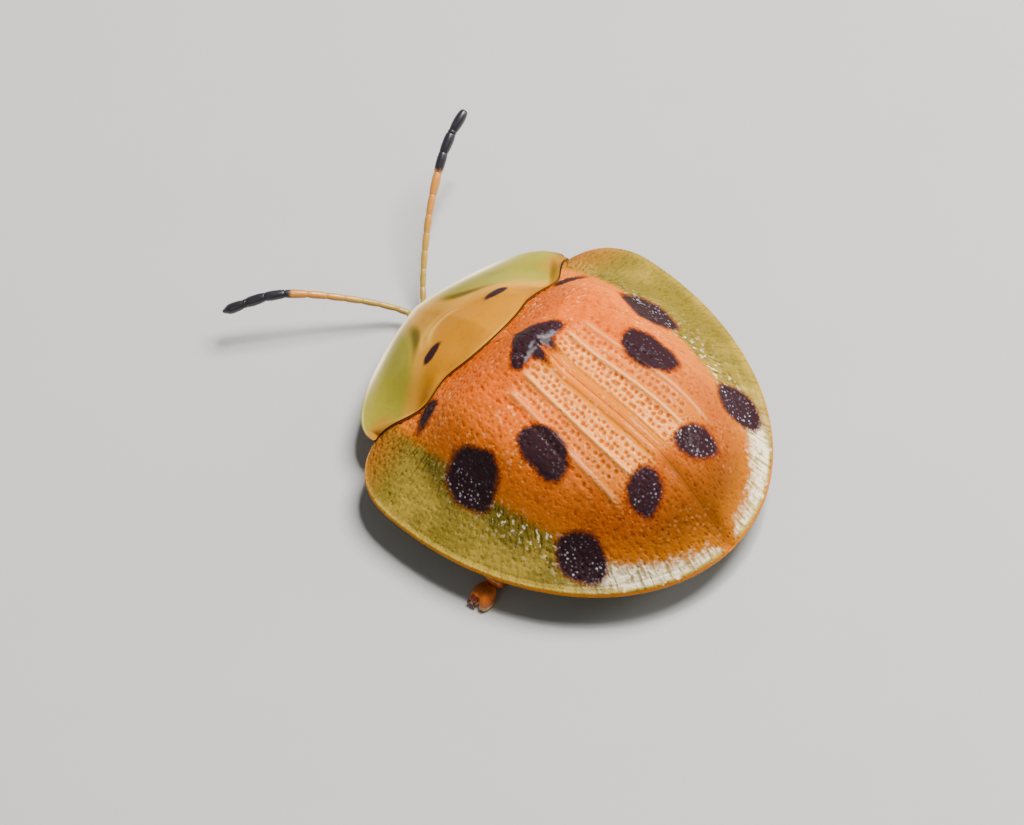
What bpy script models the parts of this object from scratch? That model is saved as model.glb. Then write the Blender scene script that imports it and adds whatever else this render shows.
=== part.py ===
"""Tortoise beetle at life size, a still model that stands on its six feet.

The head points along -Y, the beetle's left side along +X and its back up.
Shapes are worked out in millimetres, with y = 0 just behind the hump of the
back and z = 0 at the rim of the shell, and move to their place in metres at
the end, where the origin is the bottom centre of the whole beetle.
"""
import math

import bmesh
import bpy
from mathutils import Matrix, Vector

METRES = 0.001

# Driving sizes of the shell, in millimetres
RIM_ABOVE_FLOOR = 0.85
FLOOR = -RIM_ABOVE_FLOOR
GAP = 0.15
WELD = 0.0015

CASE_HALF_WIDTH = 3.95
CASE_WIDEST_Y = -0.4
CASE_END_Y = 5.1
CASE_FRONT_Y = -2.26
CORNER_HALF_WIDTH = 2.5
DISC_HALF_WIDTH = 2.75
DISC_END_Y = 4.9
FLANGE_RISE = 0.9
DISC_RISE = 1.45
HUMP_RISE = 0.34
HUMP_Y = 0.05
CASE_THICKNESS = 0.5
CASE_RIM_THICKNESS = 0.15

SHIELD_HALF_WIDTH = 2.87
SHIELD_FRONT_Y = -3.9
SHIELD_CORNER_Y = -2.32
SHIELD_BACK_Y = -1.35
SHIELD_BACK_DROP = 0.98
SHIELD_HOLLOW = (1.15, 0.3, -0.08)
SHIELD_BULGE = (1.95, 0.4, 0.26)
SHIELD_RISE = 1.5
SHIELD_THICKNESS = 0.3
SHIELD_RIM_THICKNESS = 0.1

SCUTELLUM_HALF_WIDTH = 0.42
SCUTELLUM_TIP_Y = -0.72

# Shares of a wing case's rows that lie beside the scutellum and the shoulder
SCUTELLUM_SHARE = 0.12
SHOULDER_SHARE = 0.26
SHOULDER_X = 3.2

# Two ribs on each wing case, beside the seam, and how far they reach
RIB_OFFSETS = (0.58, 1.0)
RIB_SPREAD = 0.2
RIB_RISE = 0.12
RIB_HALF_WIDTH = 0.15
RIB_FRONT_Y = -0.2
RIB_BACK_Y = 3.7

BODY_HALF_WIDTH = 2.15
BODY_FRONT_HALF_WIDTH = 1.25
BODY_FRONT_Y = -2.82
BODY_WIDEST_Y = 0.8
BODY_END_Y = 3.95
SIDE_WALL = 0.15
FLANK_SHARE = 0.6
# Front, back, underside and rise of the underside to the body's flanks
PROTHORAX = (BODY_FRONT_Y, -1.95, -0.2, 0.1)
HIND_THORAX = (-1.78, 0.55, -0.1, 0.4)
ABDOMEN = (0.7, 3.85, -0.1, 0.4)
BELLY_RINGS = 5
ROOM = (-0.12, 0.0, 0.12)

HEAD_CENTRE = Vector((0.0, -3.36, -0.42))
HEAD_RADII = Vector((0.74, 0.36, 0.33))
CHEEK_X = 0.48
EYE_CENTRE = Vector((0.6, -3.38, -0.42))
EYE_RADII = Vector((0.36, 0.3, 0.3))

FEELER_SEGMENTS = 11
FEELER_RADIUS = 0.25
FEELER_ROOT_RADIUS = 0.19
FEELER_SIDES = 8

# name, colour, roughness
SHELL = ("shell", (0.62, 0.20, 0.03), 0.25)
MARGIN = ("margin", (0.52, 0.40, 0.10), 0.2)
UNDERSIDE = ("underside", (0.28, 0.14, 0.05), 0.4)
EYE = ("eye", (0.02, 0.015, 0.012), 0.15)
LIMB = ("limb", (0.50, 0.24, 0.05), 0.35)


def clamp(value, low=0.0, high=1.0):
    return max(low, min(high, value))


def mix(start, end, share):
    return start + (end - start) * share


def ease(share):
    share = clamp(share)
    return share * share * (3.0 - 2.0 * share)


def case_half_width(y):
    """Half the width of both wing cases together at y, out to their rim."""
    if y >= CASE_WIDEST_Y:
        share = clamp((y - CASE_WIDEST_Y) / (CASE_END_Y - CASE_WIDEST_Y))
        return CASE_HALF_WIDTH * math.sqrt(1.0 - share * share)
    share = clamp((CASE_WIDEST_Y - y) / (CASE_WIDEST_Y - CASE_FRONT_Y))
    return mix(CORNER_HALF_WIDTH, CASE_HALF_WIDTH, math.sqrt(1.0 - share ** 3))


def rim_share(x, y):
    """0 at the middle of the wing cases and 1 on their rim."""
    if y >= CASE_WIDEST_Y:
        length = CASE_END_Y - CASE_WIDEST_Y
        return math.hypot(x / CASE_HALF_WIDTH, (y - CASE_WIDEST_Y) / length)
    return abs(x) / case_half_width(y)


def rib_height(x, y):
    """Two low ribs run back beside the seam and fade at both ends."""
    reach = ease((y - RIB_FRONT_Y) / 0.6) * ease((RIB_BACK_Y - y) / 0.8)
    spread = 1.0 + RIB_SPREAD * ease((y - 0.1) / 1.5)
    height = 0.0
    for offset in RIB_OFFSETS:
        height += math.exp(-((abs(x) - offset * spread) / RIB_HALF_WIDTH) ** 2)
    return RIB_RISE * reach * height


def case_top(x, y):
    """Height of the wing cases: a flat rim, a steep disc and the hump."""
    rim = clamp(rim_share(x, y))
    along = abs(y) / (DISC_END_Y if y > 0.0 else -2.0 * CASE_FRONT_Y)
    disc = math.sqrt((x / DISC_HALF_WIDTH) ** 2 + along ** 2.6)
    swell = 1.0 / (1.0 + (disc / 0.9) ** 9)
    front = ease((y + 2.2) / 2.1)
    hump = HUMP_RISE * math.exp(-((y - HUMP_Y) / 0.55) ** 2 - (x / 0.95) ** 2)
    flange = FLANGE_RISE * (1.0 - rim * rim)
    dome = DISC_RISE * swell * front * (1.0 - rim ** 12)
    return flange + dome + hump + rib_height(x, y)


def shield_half_width(y):
    share = clamp((SHIELD_CORNER_Y - y) / (SHIELD_CORNER_Y - SHIELD_FRONT_Y))
    return SHIELD_HALF_WIDTH * (1.0 - share ** 2.2) ** (1.0 / 1.2)


def shield_front(x):
    share = clamp(abs(x) / SHIELD_HALF_WIDTH)
    return mix(SHIELD_CORNER_Y, SHIELD_FRONT_Y, (1.0 - share ** 1.2) ** (1.0 / 2.2))


def shield_back(x):
    """The hind edge of the shield: a lobe in the middle, then a hollow and a bulge."""
    share = clamp(abs(x) / SHIELD_HALF_WIDTH)
    edge = SHIELD_BACK_Y - SHIELD_BACK_DROP * share ** 1.7
    for middle, width, height in (SHIELD_HOLLOW, SHIELD_BULGE):
        edge += height * math.exp(-((abs(x) - middle) / width) ** 2)
    return edge


def shield_top(x, y):
    share = clamp((y - SHIELD_FRONT_Y) / (SHIELD_BACK_Y - SHIELD_FRONT_Y))
    ridge = SHIELD_RISE * math.sin(0.5 * math.pi * share) ** 1.4
    side = clamp(abs(x) / max(shield_half_width(y), 0.05))
    swell = 0.65 / (1.0 + (side / 0.62) ** 6) + 0.35 * (1.0 - side)
    swell -= side * 0.65 / (1.0 + (1.0 / 0.62) ** 6)
    return ridge * swell


def under(top, x, y, thickness, rim_thickness, full_at, extra=0.0):
    """Inner face of a shell whose outer face is top(x, y)."""
    step = 0.05
    slope_x = (top(x + step, y) - top(x - step, y)) / (2.0 * step)
    slope_y = (top(x, y + step) - top(x, y - step)) / (2.0 * step)
    steep = math.sqrt(1.0 + min(slope_x ** 2 + slope_y ** 2, 3.0))
    height = top(x, y)
    wall = mix(rim_thickness, thickness, clamp(height / full_at))
    return height - (wall + extra) * steep


def case_under(x, y, extra=0.0):
    return under(case_top, x, y, CASE_THICKNESS, CASE_RIM_THICKNESS, 0.8, extra)


def shield_under(x, y, extra=0.0):
    return under(shield_top, x, y, SHIELD_THICKNESS, SHIELD_RIM_THICKNESS, 0.5, extra)


def new_object(name, bm, finish=None):
    """Turn a bmesh into a smooth object with its own material."""
    bmesh.ops.recalc_face_normals(bm, faces=bm.faces[:])
    bmesh.ops.triangulate(bm, faces=bm.faces[:])
    mesh = bpy.data.meshes.new(name)
    bm.to_mesh(mesh)
    bm.free()
    obj = bpy.data.objects.new(name, mesh)
    bpy.context.scene.collection.objects.link(obj)
    if finish:
        dress(obj, finish)
    return obj


def dress(obj, finish):
    label, colour, roughness = finish
    material = bpy.data.materials.new(obj.name + "_" + label)
    material.use_nodes = True
    shader = material.node_tree.nodes["Principled BSDF"]
    shader.inputs["Base Color"].default_value = (*colour, 1.0)
    shader.inputs["Roughness"].default_value = roughness
    shader.inputs["Metallic"].default_value = 0.0
    obj.data.materials.clear()
    obj.data.materials.append(material)
    obj.data.shade_smooth()
    obj.data.set_sharp_from_angle(angle=math.radians(40.0))


def plate(name, across, along, upper, lower, finish):
    """A closed plate between two faces, each a function of u and v from 0 to 1."""
    bm = bmesh.new()
    bmesh.ops.create_grid(bm, x_segments=across, y_segments=along, size=0.5)
    grown = bmesh.ops.extrude_face_region(bm, geom=bm.faces[:])
    raised = {item for item in grown["geom"] if isinstance(item, bmesh.types.BMVert)}
    for vert in bm.verts:
        face = upper if vert in raised else lower
        vert.co = face(vert.co.x + 0.5, vert.co.y + 0.5)
    return new_object(name, bm, finish)


def add_spindle(bm, start, end, radii, sides=8, squash=1.0):
    """A closed, round-ended limb piece from start to end, with its own radii."""
    axis = end - start
    turn = axis.to_track_quat("Z", "Y").to_matrix()
    rings = []
    count = len(radii)
    for index, radius in enumerate(radii):
        centre = start.lerp(end, (index + 0.5) / count)
        ring = []
        for side in range(sides):
            angle = 2.0 * math.pi * (side + 0.5) / sides
            offset = turn @ Vector((math.cos(angle), math.sin(angle), 0.0)) * radius
            offset.z *= squash
            ring.append(bm.verts.new(centre + offset))
        rings.append(ring)
    first = bm.verts.new(start)
    last = bm.verts.new(end)
    for side in range(sides):
        after = (side + 1) % sides
        bm.faces.new((first, rings[0][after], rings[0][side]))
        bm.faces.new((last, rings[-1][side], rings[-1][after]))
        for near, far in zip(rings, rings[1:]):
            bm.faces.new((near[side], near[after], far[after], far[side]))


def spindle(start, end, radii, sides=8, squash=1.0):
    bm = bmesh.new()
    add_spindle(bm, Vector(start), Vector(end), radii, sides, squash)
    return new_object("piece", bm)


def ball(centre, radii, detail=12):
    bm = bmesh.new()
    bmesh.ops.create_uvsphere(bm, u_segments=detail, v_segments=detail // 2 + 1, radius=1.0)
    bmesh.ops.scale(bm, verts=bm.verts[:], vec=radii)
    bmesh.ops.translate(bm, verts=bm.verts[:], vec=centre)
    return new_object("piece", bm)


def cut_flat(obj, point, normal):
    """Cut away what lies beyond a plane, and close the cut."""
    bm = bmesh.new()
    bm.from_mesh(obj.data)
    geometry = bm.verts[:] + bm.edges[:] + bm.faces[:]
    bmesh.ops.bisect_plane(bm, geom=geometry, plane_co=point, plane_no=normal, clear_outer=True)
    open_edges = [edge for edge in bm.edges if edge.is_boundary]
    if open_edges:
        bmesh.ops.holes_fill(bm, edges=open_edges, sides=0)
    bmesh.ops.recalc_face_normals(bm, faces=bm.faces[:])
    bm.to_mesh(obj.data)
    bm.free()


def keep_largest(mesh):
    """Keep the largest closed surface, and weld what the union left too fine."""
    bm = bmesh.new()
    bm.from_mesh(mesh)
    bmesh.ops.remove_doubles(bm, verts=bm.verts[:], dist=WELD)
    bmesh.ops.dissolve_degenerate(bm, edges=bm.edges[:], dist=WELD)
    left = set(bm.faces)
    surfaces = []
    while left:
        seed = left.pop()
        surface = {seed}
        edge_of_growth = [seed]
        while edge_of_growth:
            face = edge_of_growth.pop()
            for edge in face.edges:
                for near in edge.link_faces:
                    if near in left:
                        left.remove(near)
                        surface.add(near)
                        edge_of_growth.append(near)
        surfaces.append(surface)
    surfaces.sort(key=lambda surface: sum(face.calc_area() for face in surface))
    for surface in surfaces[:-1]:
        bmesh.ops.delete(bm, geom=list(surface), context="FACES")
    bmesh.ops.triangulate(bm, faces=bm.faces[:])
    bm.to_mesh(mesh)
    bm.free()


def union(name, pieces, finish):
    """Join closed pieces into one body with one Boolean on a collection."""
    body = pieces[0]
    body.name = name
    group = bpy.data.collections.new(name + "_pieces")
    bpy.context.scene.collection.children.link(group)
    for piece in pieces[1:]:
        bpy.context.scene.collection.objects.unlink(piece)
        group.objects.link(piece)
    modifier = body.modifiers.new("join", "BOOLEAN")
    modifier.operation = "UNION"
    modifier.operand_type = "COLLECTION"
    modifier.collection = group
    modifier.solver = "EXACT"
    graph = bpy.context.evaluated_depsgraph_get()
    joined = bpy.data.meshes.new_from_object(body.evaluated_get(graph))
    body.modifiers.clear()
    body.data = joined
    for piece in pieces[1:]:
        bpy.data.objects.remove(piece)
    bpy.data.collections.remove(group)
    keep_largest(body.data)
    dress(body, finish)
    return body


def smooth_path(points, count):
    """Points of a smooth curve through the given ones."""
    ends = [points[0] * 2.0 - points[1], *points, points[-1] * 2.0 - points[-2]]
    path = []
    for index in range(count + 1):
        place = index / count * (len(points) - 1)
        span = min(int(place), len(points) - 2)
        t = place - span
        before, start, end, after = ends[span:span + 4]
        path.append(0.5 * (2.0 * start + (end - before) * t
                           + (2.0 * before - 5.0 * start + 4.0 * end - after) * t * t
                           + (3.0 * start - before - 3.0 * end + after) * t ** 3))
    return path


def make_shield():
    def place(u, v, face):
        x = SHIELD_HALF_WIDTH * math.sin(0.5 * math.pi * (2.0 * u - 1.0)) * 0.995
        y = mix(shield_front(x), shield_back(x), v)
        return Vector((x, y, face(x, y)))

    plate("pronotum", 28, 16, lambda u, v: place(u, v, shield_top),
          lambda u, v: place(u, v, shield_under), MARGIN)


def case_front(x):
    """The front edge of a wing case, which follows the hind edge of the shield."""
    share = clamp((x - CORNER_HALF_WIDTH) / (CASE_HALF_WIDTH - CORNER_HALF_WIDTH))
    corner = mix(CASE_WIDEST_Y, CASE_FRONT_Y, (1.0 - share * share) ** (1.0 / 3.0))
    return max(corner, shield_back(x) + GAP)


def case_inner(v):
    """The inner edge of a wing case: past the scutellum, then along the seam."""
    start_x = SCUTELLUM_HALF_WIDTH + 1.2 * GAP
    start = Vector((start_x, case_front(start_x)))
    tip = Vector((0.5 * GAP, SCUTELLUM_TIP_Y + 0.6 * GAP))
    end = Vector((0.5 * GAP, CASE_END_Y - 0.01))
    if v < SCUTELLUM_SHARE:
        return start.lerp(tip, v / SCUTELLUM_SHARE)
    share = (v - SCUTELLUM_SHARE) / (1.0 - SCUTELLUM_SHARE)
    return tip.lerp(end, math.sin(0.5 * math.pi * share) ** 1.2)


def case_outer(v):
    """The outer rim of a wing case, from its front corner to its tip."""
    if v < SHOULDER_SHARE:
        x = mix(SHOULDER_X, CASE_HALF_WIDTH, math.sin(0.5 * math.pi * v / SHOULDER_SHARE))
        return Vector((x, case_front(x)))
    share = (v - SHOULDER_SHARE) / (1.0 - SHOULDER_SHARE)
    y = mix(CASE_WIDEST_Y, CASE_END_Y, math.sin(0.5 * math.pi * share * 0.9))
    return Vector((case_half_width(y), y))


def make_case(name, side):
    """A wing case, from rows that fan out from the seam to the rim."""
    start = case_inner(0.0)
    shoulder = case_outer(0.0)

    def place(u, v, face):
        share = u ** 1.25
        spot = case_inner(v).lerp(case_outer(v), share)
        edge = start.lerp(shoulder, share)
        spot.y += (case_front(edge.x) - edge.y) * clamp(1.0 - v / SHOULDER_SHARE)
        return Vector((side * spot.x, spot.y, face(spot.x, spot.y)))

    plate(name, 17, 26, lambda u, v: place(u, v, case_top),
          lambda u, v: place(u, v, case_under), SHELL)


def make_scutellum():
    back = SCUTELLUM_TIP_Y
    front = shield_back(0.0) + GAP

    def place(u, v, face):
        y = mix(front, back, v)
        half = SCUTELLUM_HALF_WIDTH * mix(1.0, 0.12, v)
        x = half * (2.0 * u - 1.0)
        return Vector((x, y, face(x, y)))

    plate("scutellum", 4, 4, lambda u, v: place(u, v, case_top),
          lambda u, v: place(u, v, lambda x, y: case_top(x, y) - CASE_THICKNESS), SHELL)


def cover_under(x, y, extra):
    """Inner face of what lies over the body: the shield, and behind it the wing cases."""
    if y < shield_back(x) + 0.5 * GAP:
        return shield_under(x, y, extra)
    return case_under(x, y, extra)


def ceiling(x, y):
    """The height that the body may reach under the shell, a gap below it."""
    return min(cover_under(x + aside, y + back, GAP) for aside in ROOM for back in ROOM)


def body_outline(y):
    """Half the width that the body would have if the shell left it room."""
    if y > BODY_WIDEST_Y:
        share = clamp((y - BODY_WIDEST_Y) / (BODY_END_Y - BODY_WIDEST_Y))
        return BODY_HALF_WIDTH * math.sqrt(1.0 - share ** 2.6)
    share = ease((y - BODY_FRONT_Y) / (BODY_WIDEST_Y - BODY_FRONT_Y))
    return mix(BODY_FRONT_HALF_WIDTH, BODY_HALF_WIDTH, share)


def body_half_width(y, flank):
    """Half the width of the body, out to where the shell comes down to its flank."""
    x = body_outline(y)
    while x > 0.3 and ceiling(x, y) < flank + SIDE_WALL:
        x -= 0.01
    return x


def trunk(name, size, across, along, ring=0.0, rings=1):
    """A length of the body, with the rings of its underside."""
    front, back, low, rise = size

    def place(u, v, lower):
        y = mix(front, back, v)
        side = math.sin(0.5 * math.pi * (2.0 * u - 1.0))
        x = body_half_width(y, low + FLANK_SHARE * rise) * side
        roof = ceiling(x, y)
        swell = ring * abs(math.sin(math.pi * v * rings)) * (1.0 - side * side)
        height = min(low + rise * abs(side) ** 3, roof - SIDE_WALL) - swell
        return Vector((x, y, height if lower else roof))

    plate(name, across, along, lambda u, v: place(u, v, False),
          lambda u, v: place(u, v, True), UNDERSIDE)


def make_trunk():
    trunk("prothorax", PROTHORAX, 12, 5)
    trunk("hind_thorax", HIND_THORAX, 14, 10)
    trunk("abdomen", ABDOMEN, 14, 20, 0.06, BELLY_RINGS)


def make_head():
    skull = ball(HEAD_CENTRE, HEAD_RADII, 16)
    for side in (-1.0, 1.0):
        cut_flat(skull, (side * CHEEK_X, 0.0, 0.0), (side, 0.0, 0.0))
    front = HEAD_CENTRE.y - HEAD_RADII.y
    low = HEAD_CENTRE.z - HEAD_RADII.z
    lip = ball((0.0, front + 0.2, low + 0.12), (0.26, 0.2, 0.14), 10)
    pieces = [skull, lip]
    for side in (-1.0, 1.0):
        start = (side * 0.2, front + 0.28, low + 0.16)
        pieces.append(spindle(start, (side * 0.34, front + 0.02, low + 0.06), (0.07, 0.08, 0.06), 6))
    union("head", pieces, UNDERSIDE)
    for side, word in ((1.0, "left"), (-1.0, "right")):
        centre = Vector((side * EYE_CENTRE.x, EYE_CENTRE.y, EYE_CENTRE.z))
        eye = ball(centre, EYE_RADII, 14)
        eye.name = "eye_" + word
        cut_flat(eye, (side * (CHEEK_X + GAP), 0.0, 0.0), (-side, 0.0, 0.0))
        dress(eye, EYE)


FEELER_PATHS = {
    "left": (0.17, (0.02, -4.22, -0.47), (0.7, -5.13, -0.05), (1.67, -6.16, 0.28), (2.64, -6.94, 0.0)),
    "right": (-0.25, (-0.44, -4.18, -0.47), (-1.63, -5.05, 0.25), (-2.86, -5.67, 0.85), (-3.74, -5.86, 1.15)),
}


def make_feeler(name, path):
    """A feeler of eleven segments that swells towards its club."""
    root_x = path[0]
    root_y = HEAD_CENTRE.y - HEAD_RADII.y - GAP
    knots = [Vector((root_x, root_y, HEAD_CENTRE.z - 0.02))]
    knots += [Vector(point) for point in path[1:]]
    steps = 3 * FEELER_SEGMENTS
    centres = smooth_path(knots, steps)
    bm = bmesh.new()
    rings = []
    direction = centres[1] - centres[0]
    turn = direction.to_track_quat("Z", "Y")
    for index, centre in enumerate(centres):
        ahead = centres[min(index + 1, steps)] - centres[max(index - 1, 0)]
        turn = direction.rotation_difference(ahead) @ turn
        direction = ahead
        share = index / steps
        radius = mix(FEELER_ROOT_RADIUS, FEELER_RADIUS, ease(share / 0.3))
        if index % 3 == 0:
            radius *= 0.78
        radius *= mix(1.0, 0.35, ease((share - 0.92) / 0.08))
        ring = []
        for side in range(FEELER_SIDES):
            angle = 2.0 * math.pi * side / FEELER_SIDES
            offset = turn @ Vector((math.cos(angle), math.sin(angle), 0.0))
            ring.append(bm.verts.new(centre + offset * radius))
        rings.append(ring)
    for near, far in zip(rings, rings[1:]):
        for side in range(FEELER_SIDES):
            after = (side + 1) % FEELER_SIDES
            bm.faces.new((near[side], near[after], far[after], far[side]))
    bm.faces.new(rings[0][::-1])
    bm.faces.new(rings[-1])
    new_object(name, bm, LIMB)


# Hip, knee, ankle and tip of the claw segment on the left side
LEGS = {
    "front": ((0.5, -2.35, -0.59), (1.7, -2.6, -0.5), (2.0, -2.8, -0.55), (1.95, -3.2, -0.72)),
    "middle": ((0.8, -0.9, -0.45), (2.3, -1.15, -0.2), (2.85, -0.85, -0.5), (3.45, -0.55, -0.72)),
    "hind": ((0.8, 0.3, -0.45), (2.35, 0.95, -0.2), (3.0, 1.4, -0.5), (3.45, 1.85, -0.72)),
}
SHOWN_FOOT = ((3.1, 1.6, -0.5), (4.0, 1.68, -0.72))


def make_leg(name, side, joints):
    """Coxa, thigh, shin, four foot segments with a two-lobed pad, and claws."""
    hip, knee, ankle, toe = [Vector((side * x, y, z)) for x, y, z in joints]
    along = (toe - ankle).normalized()
    flat = Vector((along.x, along.y, 0.0)).normalized()
    across = Vector((-flat.y, flat.x, 0.0))
    foot_length = (toe - ankle).length
    pieces = [
        spindle(hip.lerp(knee, 0.12), knee + (knee - hip).normalized() * 0.12, (0.19, 0.24, 0.27, 0.26, 0.23), 10),
        ball(hip, (0.28, 0.28, 0.22), 10),
        spindle(knee.lerp(ankle, -0.2), ankle.lerp(toe, 0.1), (0.2, 0.23, 0.24, 0.25), 10),
    ]
    for index, width in enumerate((0.24, 0.27)):
        start = ankle.lerp(toe, 0.22 * index)
        end = ankle.lerp(toe, 0.22 * index + 0.42)
        pieces.append(spindle(start, end, (0.18, width, width, 0.2), 8))
    for lobe in (-1.0, 1.0):
        start = ankle.lerp(toe, 0.42) + across * lobe * 0.05
        end = ankle.lerp(toe, 0.86) + across * lobe * 0.22
        end.z = FLOOR + 0.1
        pieces.append(spindle(start, end, (0.15, 0.19, 0.17), 8))
        claw_root = toe + across * lobe * 0.03
        claw_tip = toe + flat * 0.16 + across * lobe * 0.12
        claw_tip.z = FLOOR + 0.05
        pieces.append(spindle(claw_root, claw_tip, (0.06, 0.035), 6))
    pieces.append(spindle(ankle.lerp(toe, 0.5), toe + flat * 0.03, (0.1, 0.11, 0.1), 6))
    leg = union(name, pieces, LIMB)
    cut_flat(leg, (0.0, 0.0, FLOOR), (0.0, 0.0, -1.0))
    dress(leg, LIMB)


def make_legs():
    for row, joints in LEGS.items():
        for side, word in ((1.0, "left"), (-1.0, "right")):
            if row == "hind" and word == "left":
                joints = joints[:2] + SHOWN_FOOT
            elif row == "hind":
                joints = LEGS[row]
            make_leg("leg_" + row + "_" + word, side, joints)


def move_to_place():
    """Put the bottom centre of the whole beetle at the origin, in metres."""
    objects = list(bpy.context.scene.objects)
    corners = [vert.co for obj in objects for vert in obj.data.vertices]
    low = Vector([min(corner[axis] for corner in corners) for axis in range(3)])
    high = Vector([max(corner[axis] for corner in corners) for axis in range(3)])
    base = Vector((0.5 * (low.x + high.x), 0.5 * (low.y + high.y), low.z))
    for obj in objects:
        obj.data.transform(Matrix.Scale(METRES, 4) @ Matrix.Translation(-base))
        obj.data.update()


def main():
    for obj in list(bpy.data.objects):
        bpy.data.objects.remove(obj)
    make_shield()
    for word, side in (("left", 1.0), ("right", -1.0)):
        make_case("elytron_" + word, side)
        make_feeler("antenna_" + word, FEELER_PATHS[word])
    make_scutellum()
    make_trunk()
    make_head()
    make_legs()
    move_to_place()


main()
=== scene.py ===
"""Tortoise beetle: the finished shell, shield, head, feelers and legs, and a plain studio.

Shapes are worked out in millimetres round the shell, with y = 0 just behind the
hump of the back and z = 0 at the rim, and then moved onto the frame in metres.
"""
import math
import random

import bmesh
import bpy
from bpy.props import FloatProperty, FloatVectorProperty, IntProperty, PointerProperty
from bpy.types import Operator, Panel, PropertyGroup
from mathutils import Matrix, Vector, noise
from mathutils.kdtree import KDTree


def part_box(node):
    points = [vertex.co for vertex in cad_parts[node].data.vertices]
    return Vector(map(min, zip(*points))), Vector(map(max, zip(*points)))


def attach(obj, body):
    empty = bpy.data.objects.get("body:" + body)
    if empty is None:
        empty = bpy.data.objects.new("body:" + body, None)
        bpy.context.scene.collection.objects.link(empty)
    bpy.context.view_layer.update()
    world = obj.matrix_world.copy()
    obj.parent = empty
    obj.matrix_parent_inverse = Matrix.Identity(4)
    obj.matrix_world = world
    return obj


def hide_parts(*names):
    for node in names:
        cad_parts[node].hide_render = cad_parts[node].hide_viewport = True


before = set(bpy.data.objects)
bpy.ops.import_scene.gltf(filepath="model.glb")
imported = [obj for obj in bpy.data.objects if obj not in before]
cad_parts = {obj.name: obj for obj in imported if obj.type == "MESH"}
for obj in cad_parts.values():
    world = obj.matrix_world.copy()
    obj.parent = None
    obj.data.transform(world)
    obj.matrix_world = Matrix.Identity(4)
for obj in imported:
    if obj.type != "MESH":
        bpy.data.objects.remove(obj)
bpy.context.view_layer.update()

bl_info = {
    "name": "Tortoise Beetle",
    "version": (1, 0, 0),
    "blender": (4, 5, 0),
    "location": "View3D > Sidebar > Beetle",
    "description": "Builds a life-size tortoise beetle and a plain studio round it",
    "category": "Add Mesh",
}

MM = 0.001

# Driving sizes of the shell, in millimetres, as in the solids
RIM_ABOVE_FLOOR = 0.85
FLOOR = -RIM_ABOVE_FLOOR
CASE_HALF_WIDTH = 3.95
CASE_WIDEST_Y = -0.4
CASE_END_Y = 5.1
CASE_REAR_LENGTH = CASE_END_Y - CASE_WIDEST_Y
CASE_FRONT_Y = -2.26
CORNER_HALF_WIDTH = 2.5
DISC_HALF_WIDTH = 2.75
DISC_END_Y = 4.9
DISC_ROUNDNESS = 2.6
DISC_RISE = 1.45
DISC_FALL_SHARE = 0.9
DISC_FALL_POWER = 9
FRONT_SLOPE_Y = -2.2
FRONT_SLOPE_LENGTH = 2.1
FLANGE_RISE = 0.9
HUMP_RISE = 0.34
HUMP_Y = 0.05
HUMP_LENGTH = 0.55
HUMP_WIDTH = 0.95
SHIELD_HALF_WIDTH = 2.87
SHIELD_FRONT_Y = -3.9
SHIELD_CORNER_Y = -2.32
SHIELD_BACK_Y = -1.35
SHIELD_BACK_DROP = 0.98
SHIELD_HOLLOW = (1.15, 0.3, -0.08)
SHIELD_BULGE = (1.95, 0.4, 0.26)
SHIELD_ROUND_X = 1.2
SHIELD_ROUND_Y = 2.2
SHIELD_RISE = 1.5
SHIELD_SWELL = 0.65
SHIELD_FALL_SHARE = 0.62
SHIELD_FALL_POWER = 6
SCUTELLUM_HALF_WIDTH = 0.3
SCUTELLUM_TIP_Y = -0.72
SHOULDER_X = 3.2
HEAD_CENTRE = Vector((0.0, -3.36, -0.42))

# Sizes of the dressed shell alone, in millimetres, and shares of its edges
SHIELD_OVERHANG = 0.12
CASE_TUCK = 0.02
SEAM_HALF_GAP = 0.001
SHOULDER_SHARE = 0.26
SCUTELLUM_SHARE = 0.1
RIB_X = 0.64
RIB_SPREAD = 0.12
SECOND_RIB = 1.7
RIB_START_Y = 0.2
RIB_END_Y = 3.55
STRIP_X = 0.08
GROOVE_X = 0.19
FOLD = (Vector((0.55, 0.0)), Vector((1.9, -0.75)))

# Pits: rows lie at shares of the first rib's distance from the seam
PIT_ROWS = (0.46, 0.66, 0.84, 1.22, 1.44, 1.94)
PIT_STEEPNESS = 1.4
ROW_PIT_RADII = (0.048, 0.075)
ROW_PIT_STEPS = (0.12, 0.145)
LOOSE_PIT_RADII = (0.03, 0.05)
LOOSE_PIT_STEP = 0.115
RIM_PIT_RADIUS = 0.032
RIM_PIT_STEP = 0.09
RIM_PIT_SHARE = 0.968

# Spots on the left side: centre x and y, half-width, half-length and lean in degrees
CASE_SPOTS = (
    (1.52, 1.64, 0.37, 0.61, -5.0),
    (0.75, 3.62, 0.38, 0.31, 0.0),
    (2.32, 3.2, 0.34, 0.52, 22.0),
    (2.58, 0.53, 0.40, 0.61, 8.0),
    (2.08, -1.28, 0.32, 0.15, 12.0),
)
SHIELD_SPOT = (0.98, -2.27, 0.29, 0.115, 12.0)
OVAL_POWER = 2.3
CHEVRON_ARM = (Vector((0.0, -0.41)), Vector((0.57, 0.08)))
CHEVRON_RADIUS = 0.14
# Painted sheen on the chevron: start and end of its grey-white stripe
SHEEN_STREAK = (Vector((0.1, 0.08)), Vector((0.42, 0.2)))

UNSPOTTED = -1.0

# Sockets of a colour's Mix node: share, first and second colour, and result
MIX_SOCKETS = (0, 6, 7)
MIX_RESULT = 2

# Faces across and along each plate
SHIELD_GRID = (190, 120)
SCUTELLUM_GRID = (16, 20)
PLATE_COLUMNS = 60
RING_ROWS = 40

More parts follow.
